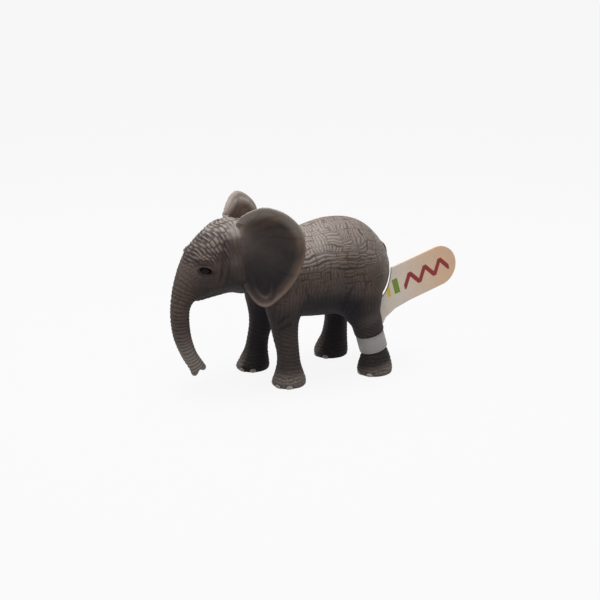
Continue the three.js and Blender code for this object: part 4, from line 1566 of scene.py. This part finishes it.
def band_mesh(thickness):
    """The band of card as a closed strip with softly rounded edges."""
    path = strip_path(thickness)
    ways = unit(np.gradient(path, axis=0))
    sides = np.stack([-ways[:, 1], ways[:, 0]], axis=1)
    half, top, edge = thickness / 2, BAND_HEIGHT / 2, 0.3 * thickness
    rising = ((half, edge - top), (half, 0.0), (half, top - edge), (half - edge, top), (edge - half, top))
    outline = [(sign * across, sign * up) for sign in (1.0, -1.0) for across, up in rising]
    work = bmesh.new()
    rings = []
    for (x, y), (a, b) in zip(path, sides):
        rings.append([work.verts.new((x + a * across, y + b * across, up)) for across, up in outline])
    for one, two in zip(rings[:-1], rings[1:]):
        for k in range(len(one)):
            after = (k + 1) % len(one)
            work.faces.new((one[k], two[k], two[after], one[after]))
    work.faces.new(rings[0])
    work.faces.new(rings[-1][::-1])
    bmesh.ops.recalc_face_normals(work, faces=work.faces)
    return mesh_of(work, "band")


def tag_mesh(thickness, bend):
    """The flat part, slightly bent, and the band, with each point's place on the print."""
    matrix = tag_matrix()
    work = bmesh.new()
    work.from_mesh(paddle_mesh(matrix.inverted()))
    paddle_count = len(work.verts)
    work.from_mesh(band_mesh(thickness))
    spots = []
    for index, vert in enumerate(work.verts):
        x, _, z = vert.co
        printed = index < paddle_count
        spots.append((x, z - PRINT_LEVEL, float(printed)))
        if printed:
            vert.co.y += bend * max(0.0, (x - BEND_START) / BEND_LENGTH) ** 2
        vert.co = matrix @ vert.co
    mesh = mesh_of(work, "tag_card")
    write_attribute(mesh, "card_place", "FLOAT_VECTOR", "vector", np.array(spots))
    mesh.set_sharp_from_angle(angle=math.radians(35.0))
    return mesh


class CALF_OT_tag(bpy.types.Operator):
    """Makes the card tag: a band round the shin and a printed flat part"""

    bl_idname = "calf.tag"
    bl_label = "Card tag"

    def execute(self, context):
        settings = context.scene.calf_tag
        mesh = tag_mesh(settings.thickness / MM, settings.bend / MM)
        placed("tag_card", mesh, printed_card(), "tag", "tag")
        return {"FINISHED"}


# Stage


def plain_floor():
    """A floor that shows nearly white to the camera and keeps a faint shadow."""
    made, tree, shader = material("pale_floor")
    tree.fill(shader, {"Base Color": (0.45, 0.45, 0.45, 1.0), "Roughness": 0.9, "Specular IOR Level": 0.1})
    glow = tree.node("Emission", {"Color": WHITE})
    rays = tree.node("LightPath").outputs
    bent = tree.maths("MAXIMUM", rays["Is Glossy Ray"], rays["Is Transmission Ray"])
    seen = tree.maths("MAXIMUM", rays["Is Camera Ray"], bent)
    blend = tree.node("MixShader", {0: tree.product(seen, 0.9), 1: shader.outputs[0], 2: glow.outputs[0]})
    tree.fill(made.node_tree.nodes["Material Output"], {"Surface": blend.outputs[0]})
    return made


def make_floor():
    """A floor that is too wide for its end to show."""
    work = bmesh.new()
    bmesh.ops.create_grid(work, x_segments=8, y_segments=8, size=FLOOR_HALF)
    mesh = mesh_of(work, "floor")
    mesh.materials.append(plain_floor())
    linked("floor", mesh)


def make_room(strength):
    """Even light from all round, which the camera sees as white."""
    world = bpy.data.worlds.new("room")
    bpy.context.scene.world = world
    world.use_nodes = True
    tree = Tree(world.node_tree)
    rays = tree.node("LightPath").outputs
    seen = tree.maths("MAXIMUM", rays["Is Camera Ray"], rays["Is Transmission Ray"])
    background = world.node_tree.nodes["Background"]
    tree.fill(background, {"Strength": tree.span(seen, 0.0, 1.0, strength, 1.0), "Color": WHITE})


def add_lamp(power):
    """A round lamp over the calf."""
    data = bpy.data.lights.new("overhead", "AREA")
    data.shape = "DISK"
    data.size = LAMP_SIZE
    data.energy = power
    lamp = linked("overhead", data)
    lamp.location = LAMP_PLACE
    lamp.rotation_euler = (Vector(LAMP_AIM) - Vector(LAMP_PLACE)).to_track_quat("-Z", "Y").to_euler()


def add_camera(azimuth, elevation, distance):
    """The photograph's camera."""
    flat = math.cos(elevation)
    back = Vector((math.sin(azimuth) * flat, -math.cos(azimuth) * flat, math.sin(elevation)))
    data = bpy.data.cameras.new("camera")
    data.sensor_width = SENSOR_WIDTH
    data.lens = SENSOR_WIDTH * FOCAL_PIXELS / PHOTO_PIXELS
    data.shift_x = (PHOTO_PIXELS / 2 - AIM_PIXEL[0]) / PHOTO_PIXELS
    data.shift_y = (AIM_PIXEL[1] - PHOTO_PIXELS / 2) / PHOTO_PIXELS
    data.clip_start = 0.01
    data.clip_end = 10.0
    camera = linked("camera", data)
    camera.location = AIM + back * distance
    camera.rotation_mode = "QUATERNION"
    camera.rotation_quaternion = (-back).to_track_quat("-Z", "Y")
    bpy.context.scene.camera = camera


class CALF_OT_stage(bpy.types.Operator):
    """Makes the floor, the light and the camera"""

    bl_idname = "calf.stage"
    bl_label = "Stage"

    def execute(self, context):
        settings = context.scene.calf_stage
        make_floor()
        make_room(settings.fill)
        add_lamp(settings.key)
        add_camera(settings.azimuth, settings.elevation, settings.distance)
        context.scene.view_settings.view_transform = "Standard"
        return {"FINISHED"}


class CALF_PT_panel(bpy.types.Panel):
    """Lists the calf's pieces and settings"""

    bl_idname = "CALF_PT_panel"
    bl_label = "Toy elephant calf"
    bl_space_type = "VIEW_3D"
    bl_region_type = "UI"
    bl_category = "Calf"

    def draw(self, context):
        for name, _ in SETTINGS:
            box = self.layout.box()
            for key in getattr(context.scene, name).bl_rna.properties.keys():
                if key not in ("rna_type", "name"):
                    box.prop(getattr(context.scene, name), key)
        for operator in OPERATORS:
            self.layout.operator(operator.bl_idname)


SETTINGS = (
    ("calf_skin", CalfSkin), ("calf_paint", CalfPaint), ("calf_tag", CalfTag), ("calf_stage", CalfStage),
)
OPERATORS = (
    CALF_OT_torso, CALF_OT_head, CALF_OT_legs, CALF_OT_ears,
    CALF_OT_tail, CALF_OT_eyes, CALF_OT_tag, CALF_OT_stage,
)


def register():
    for _, group in SETTINGS:
        bpy.utils.register_class(group)
    for operator in OPERATORS:
        bpy.utils.register_class(operator)
    bpy.utils.register_class(CALF_PT_panel)
    for name, group in SETTINGS:
        setattr(bpy.types.Scene, name, PointerProperty(type=group))


def unregister():
    for name, _ in SETTINGS:
        delattr(bpy.types.Scene, name)
    bpy.utils.unregister_class(CALF_PT_panel)
    for operator in reversed(OPERATORS):
        bpy.utils.unregister_class(operator)
    for _, group in SETTINGS:
        bpy.utils.unregister_class(group)


def main():
    register()
    bpy.ops.calf.torso()
    bpy.ops.calf.head()
    bpy.ops.calf.legs()
    bpy.ops.calf.ears()
    bpy.ops.calf.tail()
    bpy.ops.calf.eyes()
    bpy.ops.calf.tag()
    bpy.ops.calf.stage()
    bpy.data.meshes.remove(moulding())


if __name__ == "__main__":
    main()
